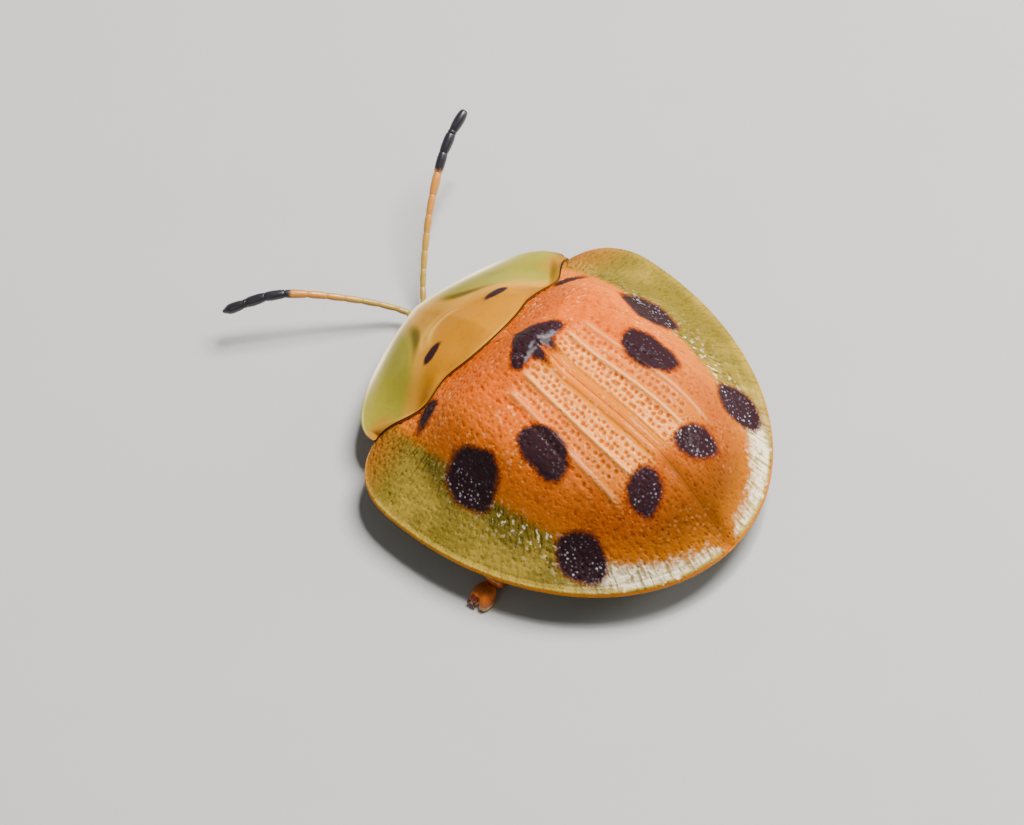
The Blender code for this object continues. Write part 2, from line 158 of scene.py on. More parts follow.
# Joints of the jaws and palps, from the lowest point of the face
JAW_JOINTS = ((0.19, 0.14, 0.1), (0.02, 0.04, 0.03))
PALP_JOINTS = ((0.24, 0.22, 0.08), (0.33, 0.12, 0.05), (0.36, 0.0, 0.05), (0.31, -0.08, 0.04))

# Points along the middle of each feeler
FEELER_PATHS = {
    "left": ((0.13, -3.6, -0.4), (0.02, -4.22, -0.47), (0.7, -5.13, -0.05), (1.67, -6.16, 0.28),
             (2.64, -6.94, 0.0)),
    "right": ((-0.2, -3.6, -0.4), (-0.44, -4.18, -0.47), (-1.63, -5.05, 0.25), (-2.86, -5.67, 0.85),
              (-3.74, -5.86, 1.15)),
}
CURVE_STEPS = 240
# Share of a feeler's length at which each of its eleven segments ends, and its width
FEELER_SEGMENTS = ((0.13, 1.0), (0.19, 0.8), (0.27, 0.82), (0.35, 0.86), (0.43, 0.9), (0.51, 0.95),
                   (0.60, 1.0), (0.70, 1.15), (0.79, 1.3), (0.88, 1.4), (1.0, 1.4))
SEGMENT_WIDTHS = (0.9, 0.97, 1.0)
SEGMENT_END_WIDTH = 0.94
NECK_WIDTH = 0.84
CLUB_STARTS = {"left": 0.62, "right": 0.64}
TIP_WIDTHS = {"left": 0.5, "right": 0.95}

# Name, node, front and back in y, height, and number of rings
BODY_PLATES = (
    ("breast_front", "prothorax", -2.95, -1.9, -0.2, 1),
    ("breast_hind", "hind_thorax", -1.88, 0.62, -0.1, 2),
    ("belly", "abdomen", 0.62, 3.88, -0.1, 5),
)
TRUNK_HALF_WIDTH = 2.1

# Hip, knee, ankle and tip of the claw segment on the left side
LEGS = {
    "front": ((0.5, -2.35, -0.59), (1.7, -2.6, -0.5), (2.0, -2.8, -0.55), (1.95, -3.2, -0.72)),
    "middle": ((0.8, -0.9, -0.45), (2.3, -1.15, -0.2), (2.85, -0.85, -0.5), (3.45, -0.55, -0.72)),
    "hind": ((0.8, 0.3, -0.45), (2.35, 0.95, -0.2), (3.0, 1.4, -0.5), (3.45, 1.85, -0.72)),
}
SHOWN_FOOT = ((3.1, 1.6, -0.5), (4.0, 1.68, -0.72))
CLAW_LEAN = 0.12
SPURS = 5
SIDES = {"left": 1.0, "right": -1.0}
CASE_SEEDS = {"left": 3, "right": 8}

# Camera: the photo's direction, roll and scale, and the pixel that the shell's zero falls on
VIEW_TURN = math.radians(34.4)
VIEW_RISE = math.radians(57.14)
VIEW_ROLL = math.radians(-13.64)
VIEW_DISTANCE = 130.0
PIXELS_PER_MM = 49.17
IMAGE_SIZE = (1024, 825)
ZERO_PIXEL = (549.9, 409.4)
SENSOR_WIDTH = 36.0
CLIP_RANGE = (0.005, 10.0)

# Studio: half the floor's size in metres, and the light of the room
FLOOR_HALF_SIZE = 0.4
ROOM_COLOUR = (0.95, 0.97, 1.0, 1.0)
ROOM_STRENGTH = 0.15
WHITE = (1.0, 1.0, 1.0)
# Name, direction, distance and size in millimetres, power in watts, and colour
LIGHTS = (
    ("key", (-0.5, 0.1, 0.87), 120.0, 60.0, 0.33, (1.0, 0.98, 0.96)),
    ("spark", (-0.35, 0.0, 0.93), 120.0, 10.0, 0.05, WHITE),
    ("rear", (-0.9, 0.7, 0.5), 130.0, 40.0, 0.05, WHITE),
    ("fill", (0.9, 0.2, 0.7), 150.0, 60.0, 0.01, WHITE),
)


def shell_origin():
    """Where the shell's own zero lies in the frame."""
    left_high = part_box("elytron_left")[1]
    right_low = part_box("elytron_right")[0]
    middle = 0.5 * (left_high[0] + right_low[0])
    return Vector((middle, left_high[1] - (CASE_END_Y - 0.01) * MM, RIM_ABOVE_FLOOR * MM))


ORIGIN = shell_origin()
TO_FRAME = Matrix.Translation(ORIGIN) @ Matrix.Scale(MM, 4)


def paint(red, green, blue):
    """A colour picked as 0 to 255 values, in the linear values that shaders use."""
    return tuple(((value / 255.0 + 0.055) / 1.055) ** 2.4 for value in (red, green, blue))


def colour(label, about, *default):
    return FloatVectorProperty(name=label, description=about, subtype="COLOR", size=3,
                               min=0.0, max=1.0, default=paint(*default))


def length(label, about, default, low, high):
    """A length given in millimetres and kept in metres."""
    return FloatProperty(name=label, description=about, default=default * MM, min=low * MM,
                         max=high * MM, precision=6, subtype="DISTANCE", unit="LENGTH")


class BeetleColours(PropertyGroup):
    # Label, what the colour is on, and its red, green and blue from 0 to 255
    disc_front: colour("Disc front", "Front slope of the wing cases", 212, 92, 0)
    disc_middle: colour("Disc middle", "Top of the wing cases", 226, 98, 0)
    disc_rear: colour("Disc rear", "Hind slope of the wing cases", 184, 88, 18)
    # Painted light: a lighter orange for the steep flanks of the disc, to offset their shade
    disc_flank: colour("Disc flank", "Steep sides of the wing cases", 250, 130, 30)
    disc_end: colour("Disc end", "Hind end of the wing cases", 122, 66, 16)
    band: colour("Band", "Pale bands beside the seam", 255, 144, 28)
    pit: colour("Pit", "Bottoms of the pits in the bands", 172, 76, 14)
    groove: colour("Groove", "Golden grooves and edge of the disc", 208, 118, 0)
    # Pale crests of the ribs with a painted highlight along them; the same colour serves the
    # painted highlights round the pits and on the disc
    ridge: colour("Ridge", "Pale crests of the ribs", 255, 186, 112)
    flange: colour("Flange", "Olive rim of the wing cases", 120, 104, 36)
    flange_gold: colour("Flange gold", "Golden flecks in the rim", 200, 166, 66)
    flange_dark: colour("Flange dark", "Dark radial streaks in the rim", 84, 66, 6)
    # Pale rear band: its own pale colour with a painted reflection over it; the same colour serves
    # the painted glints of the flange and the shield's painted highlight
    pearl: colour("Pearl", "Pale band round the rear rim", 252, 234, 192)
    rim: colour("Rim", "Thin edge of the wing cases", 228, 120, 12)
    spot: colour("Spot", "Black spots", 50, 31, 35)
    # Painted highlight flecks on the black spots
    glint: colour("Glint", "Pale flecks on the black spots", 170, 172, 184)
    shield_disc: colour("Shield disc", "Ochre middle of the shield", 186, 120, 12)
    shield_flank: colour("Shield flank", "Golden slopes of the shield", 204, 146, 44)
    shield_edge: colour("Shield edge", "Yellow-green rim of the shield", 152, 142, 44)
    # Painted highlights: bright curves near the front of the shield and a line near its hind edge
    shield_arc: colour("Shield arc", "Bright curves near the front", 240, 186, 70)
    shield_shade: colour("Shield shade", "Dark shades over the eyes", 66, 62, 0)
    belly: colour("Belly", "Plates of the underside", 58, 30, 14)
    limb: colour("Limb", "Legs", 206, 104, 14)
    feeler_root: colour("Feeler root", "First segments of the feelers", 180, 144, 48)
    feeler_middle: colour("Feeler middle", "Middle of the feelers", 204, 132, 44)
    feeler_tip: colour("Feeler tip", "Last segments of the feelers", 34, 32, 40)
    pad: colour("Pad", "Soft lobes under the feet", 226, 172, 110)
    claw: colour("Claw", "Claws and claw segments", 110, 38, 12)
    # The eye colour also serves the painted shade in the gap at the shield's hind edge
    eye: colour("Eye", "Faceted eyes", 14, 10, 9)
    floor: colour("Floor", "Studio floor", 190, 190, 186)


class BeetleSizes(PropertyGroup):
    case_columns: IntProperty(name="Case columns", description="Faces across a wing case",
                              default=165, min=20, max=200)
    case_rows: IntProperty(name="Case rows", description="Faces along a wing case",
                           default=280, min=30, max=400)
    pit_depth: length("Pit depth", "Depth of the coarse pits", 0.04, 0.0, 0.2)
    rib_rise: length("Rib rise", "Height of the ribs beside the seam", 0.07, 0.0, 0.3)
    leg_width: length("Leg width", "Radius of the thighs", 0.19, 0.05, 0.3)
    feeler_width: length("Feeler width", "Radius of the feelers", 0.082, 0.03, 0.25)


def clamp(value, low=0.0, high=1.0):
    return max(low, min(high, value))


def mix(start, end, share):
    return start + (end - start) * share


def ease(share):
    share = clamp(share)
    return share * share * (3.0 - 2.0 * share)


def bell(distance, width):
    return math.exp(-((distance / width) ** 2))


def swing(u):
    """-1 to 1 while u runs from 0 to 1, with the steps drawn together at both ends."""
    return math.sin(0.5 * math.pi * (2.0 * u - 1.0))


def line_place(x, y, start, end):
    """How far a point lies from the line between two others, and how far along it lies."""
    spot = Vector((x, y)) - start
    along = end - start
    share = clamp(spot.dot(along) / along.length_squared)
    return (spot - along * share).length, share


def case_half_width(y):
    """Half the width of both wing cases together at y, out to their rim."""
    if y >= CASE_WIDEST_Y:
        share = clamp((y - CASE_WIDEST_Y) / CASE_REAR_LENGTH)
        return CASE_HALF_WIDTH * math.sqrt(1.0 - share * share)
    share = clamp((CASE_WIDEST_Y - y) / (CASE_WIDEST_Y - CASE_FRONT_Y))
    return mix(CORNER_HALF_WIDTH, CASE_HALF_WIDTH, math.sqrt(1.0 - share ** 3))


def rim_share(x, y):
    """0 at the middle of the wing cases and 1 on their rim."""
    if y >= CASE_WIDEST_Y:
        return math.hypot(x / CASE_HALF_WIDTH, (y - CASE_WIDEST_Y) / CASE_REAR_LENGTH)
    return abs(x) / case_half_width(y)


def disc_share(x, y):
    """0 at the middle of the disc and 1 where the flange begins."""
    along = abs(y) / (DISC_END_Y if y > 0.0 else -2.0 * CASE_FRONT_Y)
    return math.sqrt((x / DISC_HALF_WIDTH) ** 2 + along ** DISC_ROUNDNESS)


def case_top(x, y):
    """Smooth height of the wing cases: a flat rim, a steep disc and the hump."""
    rim = clamp(rim_share(x, y))
    swell = 1.0 / (1.0 + (disc_share(x, y) / DISC_FALL_SHARE) ** DISC_FALL_POWER)
    front = ease((y - FRONT_SLOPE_Y) / FRONT_SLOPE_LENGTH)
    hump = HUMP_RISE * math.exp(-((y - HUMP_Y) / HUMP_LENGTH) ** 2 - (x / HUMP_WIDTH) ** 2)
    flange = FLANGE_RISE * (1.0 - rim * rim)
    dome = DISC_RISE * swell * front * (1.0 - rim ** 12)
    return flange + dome + hump


def rib_x(y):
    """How far the first rib lies from the seam."""
    return RIB_X + RIB_SPREAD * ease((y - 0.3) / 2.5)


def rib_reach(y):
    """1 beside the ribs, and 0 before and behind them."""
    return ease((y - RIB_START_Y) / 0.3) * ease((RIB_END_Y - y) / 0.4)


def seam_relief(x, y, rise):
    """Raised strip, grooves and ribs that run along the seam."""
    x = abs(x)
    rib = rib_x(y)
    strips = ((rib, 0.05, 1.0), (SECOND_RIB * rib, 0.06, 0.6), (STRIP_X, 0.07, 0.25),
              (GROOVE_X, 0.03, -0.3))
    height = rise * rib_reach(y) * sum(tall * bell(x - place, width)
                                       for place, width, tall in strips)
    height -= 0.06 * ease((y - 3.1) / 0.8) * bell(x, 0.14)
    height -= 0.004 * bell(x, 0.015)
    distance, share = line_place(x, y, *FOLD)
    return height + 0.05 * (1.0 - share) * bell(distance, 0.08)


class Pits:
    """Pits, found again from the points near them."""

    def __init__(self, pits):
        self.pits = pits
        self.tree = KDTree(len(pits))
        for index, pit in enumerate(pits):
            self.tree.insert((*pit[:2], 0.0), index)
        self.tree.balance()

    def share(self, x, y):
        """The depth at a point, and how far inside the nearest pit it lies, up to 1."""
        index, distance = self.tree.find((x, y, 0.0))[1:]
        radius, depth = self.pits[index][2:]
        inside = 1.0 - distance / radius
        return depth * ease(inside * PIT_STEEPNESS), inside


def row_pits(draw, depth):
    """Rows of pits beside the seam, each as x, y, radius and depth."""
    for row, share in enumerate(PIT_ROWS):
        y = 0.3 + 0.06 * (row % 2)
        while y < 3.4 - 0.1 * row:
            radius = draw.uniform(*ROW_PIT_RADII)
            x = share * rib_x(y) + draw.uniform(-0.028, 0.028)
            yield x, y + draw.uniform(-0.035, 0.035), radius, depth * draw.uniform(0.8, 1.3)
            y += draw.uniform(*ROW_PIT_STEPS)


def loose_pits(draw, depth):
    """Looser pits on the disc and the flange, one to each square of a net."""
    for column in range(int(CASE_HALF_WIDTH / LOOSE_PIT_STEP) + 1):
        for row in range(int((CASE_END_Y - CASE_FRONT_Y) / LOOSE_PIT_STEP) + 1):
            x = (column + draw.uniform(0.05, 0.95)) * LOOSE_PIT_STEP
            y = CASE_FRONT_Y + (row + draw.uniform(0.05, 0.95)) * LOOSE_PIT_STEP
            kind = draw.random()
            beside_rows = x < 2.1 * rib_x(y) and 0.15 < y < 3.2
            if rim_share(x, y) > 0.945 or beside_rows or x < 0.1:
                continue
            rough = 0.9 if y < 1.0 or disc_share(x, y) > 0.95 else 0.55
            yield x, y, mix(*LOOSE_PIT_RADII, kind), depth * rough * mix(0.35, 1.0, kind)


def rim_pits(depth):
    """One row of fine pits round the rim."""
    turn = 0.0
    while turn < 0.5 * math.pi:
        x = RIM_PIT_SHARE * CASE_HALF_WIDTH * math.cos(turn)
        y = CASE_WIDEST_Y + RIM_PIT_SHARE * CASE_REAR_LENGTH * math.sin(turn)
        yield x, y, RIM_PIT_RADIUS, 0.7 * depth
        turn += RIM_PIT_STEP / CASE_REAR_LENGTH


def scatter_pits(draw, depth):
    return Pits([*row_pits(draw, depth), *loose_pits(draw, depth), *rim_pits(depth)])


def oval(x, y, spot, wobble=0.06):
    """How far inside a ragged oval a point lies, in millimetres; less than 0 outside."""
    middle_x, middle_y, half_width, half_length, lean = spot
    lean = math.radians(lean)
    away_x, away_y = x - middle_x, y - middle_y
    across = away_x * math.cos(lean) + away_y * math.sin(lean)
    along = -away_x * math.sin(lean) + away_y * math.cos(lean)
    reach = abs(across / half_width) ** OVAL_POWER + abs(along / half_length) ** OVAL_POWER
    ragged = wobble * noise.noise(Vector((x * 2.6 + middle_x, y * 2.6, middle_y)))
    ragged += 0.4 * wobble * noise.noise(Vector((x * 9.0, y * 9.0, middle_x)))
    return (1.0 - reach ** (1.0 / OVAL_POWER)) * min(half_width, half_length) + ragged


def chevron(x, y):
    """How far inside the black chevron behind the scutellum a point lies."""
    arm = CHEVRON_RADIUS - line_place(abs(x), y, *CHEVRON_ARM)[0]
    fill = min(0.2 - y, 0.72 * (y + 0.6 - abs(x)), 0.56 - abs(x))
    tail = 0.13 - math.hypot(abs(x) - 0.16, 0.5 * (y - 0.18))
    return max(arm, fill, tail) + 0.05 * noise.noise(Vector((x * 4.0, y * 4.0, 3.0)))


def shield_half_width(y):
    share = clamp((SHIELD_CORNER_Y - y) / (SHIELD_CORNER_Y - SHIELD_FRONT_Y))
    return SHIELD_HALF_WIDTH * (1.0 - share ** SHIELD_ROUND_Y) ** (1.0 / SHIELD_ROUND_X)


def shield_front(x):
    share = clamp(abs(x) / SHIELD_HALF_WIDTH)
    ahead = (1.0 - share ** SHIELD_ROUND_X) ** (1.0 / SHIELD_ROUND_Y)
    return mix(SHIELD_CORNER_Y, SHIELD_FRONT_Y, ahead)


def shield_back(x):
    """The hind edge of the shield: a lobe in the middle, then a hollow and a bulge."""
    share = clamp(abs(x) / SHIELD_HALF_WIDTH)
    edge = SHIELD_BACK_Y - SHIELD_BACK_DROP * share ** 1.7
    for middle, width, height in (SHIELD_HOLLOW, SHIELD_BULGE):
        edge += height * bell(abs(x) - middle, width)
    return edge


def shield_top(x, y):
    """Smooth height of the shield, highest where it meets the wing cases."""
    share = clamp((y - SHIELD_FRONT_Y) / (SHIELD_BACK_Y - SHIELD_FRONT_Y))
    ridge = SHIELD_RISE * math.sin(0.5 * math.pi * share) ** 1.4
    side = clamp(abs(x) / max(shield_half_width(y), 0.05))
    fall = [SHIELD_SWELL / (1.0 + (at / SHIELD_FALL_SHARE) ** SHIELD_FALL_POWER)
            for at in (side, 1.0)]
    return ridge * (fall[0] + (1.0 - SHIELD_SWELL) * (1.0 - side) - side * fall[1])


def shield_cover(x, y):
    """The shield's outer face, which ends just above the wing cases."""
    back = shield_back(x) + SHIELD_OVERHANG
    lift = case_top(x, max(y, shield_back(x))) + 0.06
    return mix(shield_top(x, y), lift, ease((y - back + 0.45) / 0.45))


def slope(top, x, y, step=0.05):
    """How much longer a face is than its plan at a point, up to 2."""
    slope_x = (top(x + step, y) - top(x - step, y)) / (2.0 * step)
    slope_y = (top(x, y + step) - top(x, y - step)) / (2.0 * step)
    return math.sqrt(1.0 + min(slope_x ** 2 + slope_y ** 2, 3.0))


def add_object(name, data):
    """Put a mesh, a light or a camera into the scene."""
    thing = bpy.data.objects.new(name, data)
    bpy.context.scene.collection.objects.link(thing)
    return thing


def add_body(name, bm, looks):
    mesh = bpy.data.meshes.new(name)
    bm.to_mesh(mesh)
    bm.free()
    for look in looks:
        mesh.materials.append(look)
    return add_object(name, mesh)


def finish_piece(name, bm, looks, nodes):
    """Move a piece modelled in millimetres onto the frame, and dress it."""
    piece = add_body(name, bm, looks)
    piece.data.transform(TO_FRAME)
    piece.data.shade_smooth()
    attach(piece, "root")
    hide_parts(*nodes)


def sheet_body(across, along, spot_of, upper, lower, side=1.0):
    """A closed plate. One call gives x and y from u and v, and each face its height and marks."""
    bm = bmesh.new()
    marks = upper(0.5, 0.5, *spot_of(0.5, 0.5))[1]
    layers = {mark: bm.verts.layers.float.new(mark) for mark in marks}
    bmesh.ops.create_grid(bm, x_segments=across, y_segments=along, size=0.5)
    grown = bmesh.ops.extrude_face_region(bm, geom=bm.faces[:])
    raised = {item for item in grown["geom"] if isinstance(item, bmesh.types.BMVert)}
    for vert in bm.verts:
        face = upper if vert in raised else lower
        u, v = vert.co.x + 0.5, vert.co.y + 0.5
        x, y = spot_of(u, v)
        height, marks = face(u, v, x, y)
        vert.co = (side * x, y, height)
        for mark, value in marks.items():
            vert[layers[mark]] = value
    bmesh.ops.recalc_face_normals(bm, faces=bm.faces[:])
    return bm


class Finish:
    """A procedural material with short calls for its nodes."""

    def __init__(self, name, **sockets):
        self.material = bpy.data.materials.new(name)
        self.material.use_nodes = True
        self.tree = self.material.node_tree
        self.shader = self.tree.nodes["Principled BSDF"]
        for socket, value in sockets.items():
            self.shader.inputs[socket.replace("_", " ")].default_value = value
        self.place = self.node("TexCoord").outputs["Object"]
        self.traits = {}

    def plug(self, socket, value):
        if isinstance(value, bpy.types.NodeSocket):
            self.tree.links.new(value, socket)
        elif hasattr(value, "__len__"):
            socket.default_value = (*value[:3], 1.0)
        else:
            socket.default_value = value

    def node(self, kind, **given):
        """A new node with the given sockets set or linked."""
        node = self.tree.nodes.new("ShaderNode" + kind)
        for socket, value in given.items():
            self.plug(node.inputs[socket], value)
        return node

    def trait(self, name):
        if name not in self.traits:
            node = self.node("Attribute")
            node.attribute_name = name
            self.traits[name] = node.outputs["Fac"]
        return self.traits[name]

    def noise_in(self, vector, scale, detail):
        return self.node("TexNoise", Vector=vector, Scale=scale, Detail=detail).outputs["Fac"]

    def noise(self, per_mm, detail):
        return self.noise_in(self.place, per_mm / MM, detail)

    def cells(self, per_mm):
        return self.node("TexVoronoi", Vector=self.place, Scale=per_mm / MM).outputs["Distance"]

    def strips(self, around, inwards):
        """Noise along and across the rim, for marks that run in from it."""
        across = self.times(self.trait("arc"), around)
        node = self.node("CombineXYZ", X=across, Y=self.times(self.trait("rim"), inwards))
        return self.noise_in(node.outputs[0], 1.0, 2.0)

    def behind(self, start, end):
        """0 at start and 1 at end, both in millimetres along the shell."""
        node = self.node("SeparateXYZ", Vector=self.place)
        return self.ramp(node.outputs["Y"], ORIGIN.y + start * MM, ORIGIN.y + end * MM)

    def ramp(self, value, low, high, start=0.0, end=1.0):
        node = self.node("MapRange")
        node.interpolation_type = "SMOOTHSTEP"
        for socket, given in zip(node.inputs, (value, low, high, start, end)):
            self.plug(socket, given)
        return node.outputs[0]

    def math(self, operation, first, second=0.0):
        node = self.node("Math")
        node.operation = operation
        self.plug(node.inputs[0], first)
        self.plug(node.inputs[1], second)
        return node.outputs[0]

    def times(self, first, *others):
        for other in others:
            first = self.math("MULTIPLY", first, other)
        return first

    def plus(self, first, second):
        return self.math("ADD", first, second)

    def most(self, first, second):
        return self.math("MAXIMUM", first, second)

    def blend(self, share, first, second, mode="MIX"):
        node = self.node("Mix")
        node.data_type = "RGBA"
        node.blend_type = mode
        for index, value in zip(MIX_SOCKETS, (share, first, second)):
            self.plug(node.inputs[index], value)
        return node.outputs[MIX_RESULT]

    def layers(self, surface, *layers):
        """Lay colours over a surface one after another, each as far as its share says."""
        for share, colour in layers:
            surface = self.blend(share, surface, colour)
        return surface

    def darken(self, colour, share, shade):
        return self.blend(share, colour, (shade, shade, shade), "MULTIPLY")

    def cloud(self, colour, texture, low, high, most, shade):
        """Darken a colour where a texture rises from low to high."""
        return self.darken(colour, self.ramp(texture, low, high, 0.0, most), shade)

    def finish(self, colour, roughness, height, strength, distance):
        """Join colour, roughness and fine relief to the shader, and give the material."""
        relief = self.node("Bump", Height=height, Strength=strength, Distance=distance * MM)
        for socket, value in (("Base Color", colour), ("Roughness", roughness),
                              ("Normal", relief.outputs["Normal"])):
            self.plug(self.shader.inputs[socket], value)
        return self.material


def case_skin(look, colours, clouds, grain, speck):
    """The orange disc with its pitted bands, ribs and grooves, with painted light on its steep
    flanks and painted highlights round the pits.
    """
    disc, pit, band = (look.trait(name) for name in ("disc", "pit", "band"))
    # Painted light: the steep flanks are brightened towards a lighter orange to offset their shade
    flank = look.times(look.ramp(disc, 0.1, 0.5, 0.6, 0.0), look.behind(3.4, 2.2))
    skin = look.layers(
        colours.disc_front, (look.behind(-1.0, 0.1), colours.disc_middle),
        (look.behind(1.0, 2.8), colours.disc_rear), (flank, colours.disc_flank),
        (look.behind(3.4, 4.6), colours.disc_end))
    skin = look.cloud(skin, clouds, 0.5, 0.75, 0.4, 0.6)
    skin = look.cloud(skin, look.noise(4.5, 4.0), 0.5, 0.68, 0.4, 0.6)
    skin = look.cloud(skin, grain, 0.5, 0.72, 0.35, 0.55)
    # Painted highlights on the rims round the pits in the bands
    ring = look.times(look.ramp(pit, -0.75, -0.2), look.ramp(pit, 0.0, 0.35, 1.0, 0.0))
    skin = look.layers(
        skin, (look.times(band, look.ramp(grain, 0.3, 0.62, 0.6, 0.95)), colours.band),
        (look.times(band, ring, look.ramp(speck, 0.36, 0.62, 0.05, 0.7)), colours.ridge),
        (look.trait("groove"), colours.groove), (look.trait("ridge"), colours.ridge),
        (look.times(band, look.ramp(pit, 0.1, 0.6, 0.0, 0.42)), colours.pit))
    skin = look.cloud(skin, pit, 0.1, 0.7, 0.55, 0.5)
    return look.layers(
        skin, (look.trait("furrow"), colours.disc_end),
        (look.ramp(disc, 0.02, 0.16, 0.55, 0.0), colours.groove))


def case_flange(look, colours, clouds):
    """The olive rim with its gold, its dark dashes, its bright dashes of painted glint near the
    disc, and the pale rear band with its painted reflection.
    """
    disc, rim = look.trait("disc"), look.trait("rim")
    inner = look.ramp(disc, -0.3, 0.0)
    gold = look.plus(look.ramp(rim, 0.014, 0.05, 0.35, 0.05), look.ramp(clouds, 0.4, 0.7, 0.0, 0.4))
    dashes = look.ramp(look.strips(15.0, 22.0), 0.5, 0.62, 0.0, 0.8)
    edge = look.layers(
        colours.flange, (gold, colours.flange_gold),
        (look.times(look.behind(-1.0, -2.2), 0.55), colours.disc_rear),
        (look.times(dashes, look.most(inner, 0.4)), colours.flange_dark))
    edge = look.cloud(edge, look.trait("pit"), 0.2, 0.8, 0.5, 0.45)
    # Painted glints: pale flecks near the foot of the disc, where the pits would catch the light
    close = look.most(look.ramp(disc, -0.17, -0.04), look.times(inner, 0.3))
    glints = look.ramp(look.strips(9.0, 44.0), 0.56, 0.66)
    blocks = look.times(
        look.ramp(look.strips(7.0, 26.0), 0.34, 0.46, 0.3, 1.0),
        look.ramp(look.strips(17.0, 12.0), 0.4, 0.5, 0.25, 1.0))
    return look.layers(
        edge, (look.times(glints, close, look.behind(-0.8, 0.6)), colours.pearl),
        # The pale rear band, broken into blocks: partly its own colour and partly a painted
        # reflection
        (look.times(look.trait("pearl"), blocks), colours.pearl))


def case_black(look, colours):
    """Black, with painted highlight flecks where the pits near the foot of the disc catch the
    light, and the chevron's painted sheen.
    """
    foot = look.math("ABSOLUTE", look.plus(look.trait("disc"), 0.04))
    # Painted glints on the black spots, strongest along the foot of the disc
    spot_glints = look.times(
        look.ramp(look.cells(12.0), 0.14, 0.38, 1.0, 0.0),
        look.most(look.ramp(foot, 0.05, 0.12, 1.0, 0.1), look.times(look.behind(2.8, 3.4), 0.55)),
        look.ramp(look.noise(3.0, 1.0), 0.4, 0.6, 0.15, 1.0))
    return look.blend(look.most(spot_glints, look.trait("shine")), colours.spot, colours.glint)


def wing_case_finish(colours):
    """Glossy chitin: orange disc, olive flange, pale bands, black spots with a reddish fringe, and
    painted glints and sheen.
    """
    look = Finish("wing_case", IOR=1.02, Coat_Weight=0.1, Coat_Roughness=0.07, Coat_IOR=1.5)
    clouds, grain, speck = look.noise(1.1, 4.0), look.noise(9.0, 3.0), look.noise(22.0, 2.0)
    disc = look.trait("disc")
    border = look.plus(disc, look.ramp(grain, 0.2, 0.8, -0.022, 0.022))
    # Painted glints: pale flecks on the disc, stronger towards the front, where the pits would
    # catch the light
    disc_glints = look.times(
        look.ramp(look.cells(8.0), 0.14, 0.4, 1.0, 0.0),
        look.ramp(look.noise(1.6, 1.0), 0.42, 0.62),
        look.ramp(look.behind(2.6, 0.8), 0.0, 1.0, 0.14, 0.6), look.ramp(disc, 0.0, 0.1))
    spot = look.plus(look.trait("spot"), look.ramp(speck, 0.3, 0.7, -0.018, 0.018))
    surface = look.layers(
        case_flange(look, colours, clouds),
        (look.ramp(border, -0.02, 0.05), case_skin(look, colours, clouds, grain, speck)),
        (look.ramp(look.trait("rim"), 0.0015, 0.005, 1.0, 0.0), colours.rim),
        (disc_glints, colours.ridge), (look.ramp(spot, -0.08, 0.0, 0.0, 0.75), colours.claw),
        (look.ramp(spot, -0.03, 0.04), case_black(look, colours)))
    relief = look.plus(look.noise(16.0, 3.0), look.ramp(look.cells(9.0), 0.0, 0.4))
    return look.finish(surface, look.ramp(grain, 0.3, 0.7, 0.4, 0.55), relief, 0.6, 0.02)


def shield_finish(colours):
    """Smooth glossy chitin, golden in the middle and yellow-green round the rim, with painted shade
    towards the front, painted highlights, and a painted shade in the gap at its hind edge.
    """
    look = Finish("shield", IOR=1.02, Coat_Weight=0.13, Coat_Roughness=0.05, Coat_IOR=1.45)
    clouds, grain = look.noise(1.4, 3.0), look.noise(10.0, 2.0)
    soft = look.plus(look.trait("disc"), look.ramp(clouds, 0.2, 0.8, -0.12, 0.12))
    surface = look.layers(
        colours.shield_edge, (look.ramp(soft, -0.4, 0.2), colours.shield_flank),
        (look.ramp(soft, 0.2, 0.8), colours.shield_disc))
    # Painted shade: darker towards the front of the shield, which faces away from the light
    surface = look.darken(surface, look.math("SUBTRACT", 0.55, look.behind(-3.8, -2.0)), 0.5)
    surface = look.cloud(surface, clouds, 0.5, 0.72, 0.35, 0.6)
    surface = look.cloud(surface, grain, 0.5, 0.75, 0.2, 0.6)
    surface = look.layers(
        surface, (look.trait("shade"), colours.shield_shade),
        # Painted highlights: bright curves near the front and a line near the hind edge
        (look.trait("warm"), colours.disc_rear), (look.trait("arcs"), colours.shield_arc),
        # Pale translucent front rim, with a painted highlight along it
        (look.trait("border"), colours.pearl),
        (look.ramp(look.trait("spot"), -0.02, 0.03), colours.spot),
        # Painted shade: near-black along the hind edge, for the shade in the gap over the wing
        # cases
        (look.trait("hem"), colours.eye))
    roughness = look.ramp(grain, 0.3, 0.7, 0.22, 0.34)
    return look.finish(surface, roughness, look.noise(12.0, 3.0), 0.12, 0.01)


def plain_chitin(name, base, dark, rough, bump):
    """Satin chitin with clouded colour and a fine grain."""
    look = Finish(name, IOR=1.5, Coat_Weight=0.3, Coat_Roughness=0.2)
    clouds, grain = look.noise(3.0, 4.0), look.noise(18.0, 2.0)
    surface = look.cloud(base, clouds, 0.4, 0.7, 0.8, dark)
    surface = look.cloud(surface, grain, 0.45, 0.7, 0.5, dark)
    roughness = look.ramp(grain, 0.3, 0.7, rough, rough + 0.15)
    return look.finish(surface, roughness, look.plus(grain, clouds), bump, 0.01)


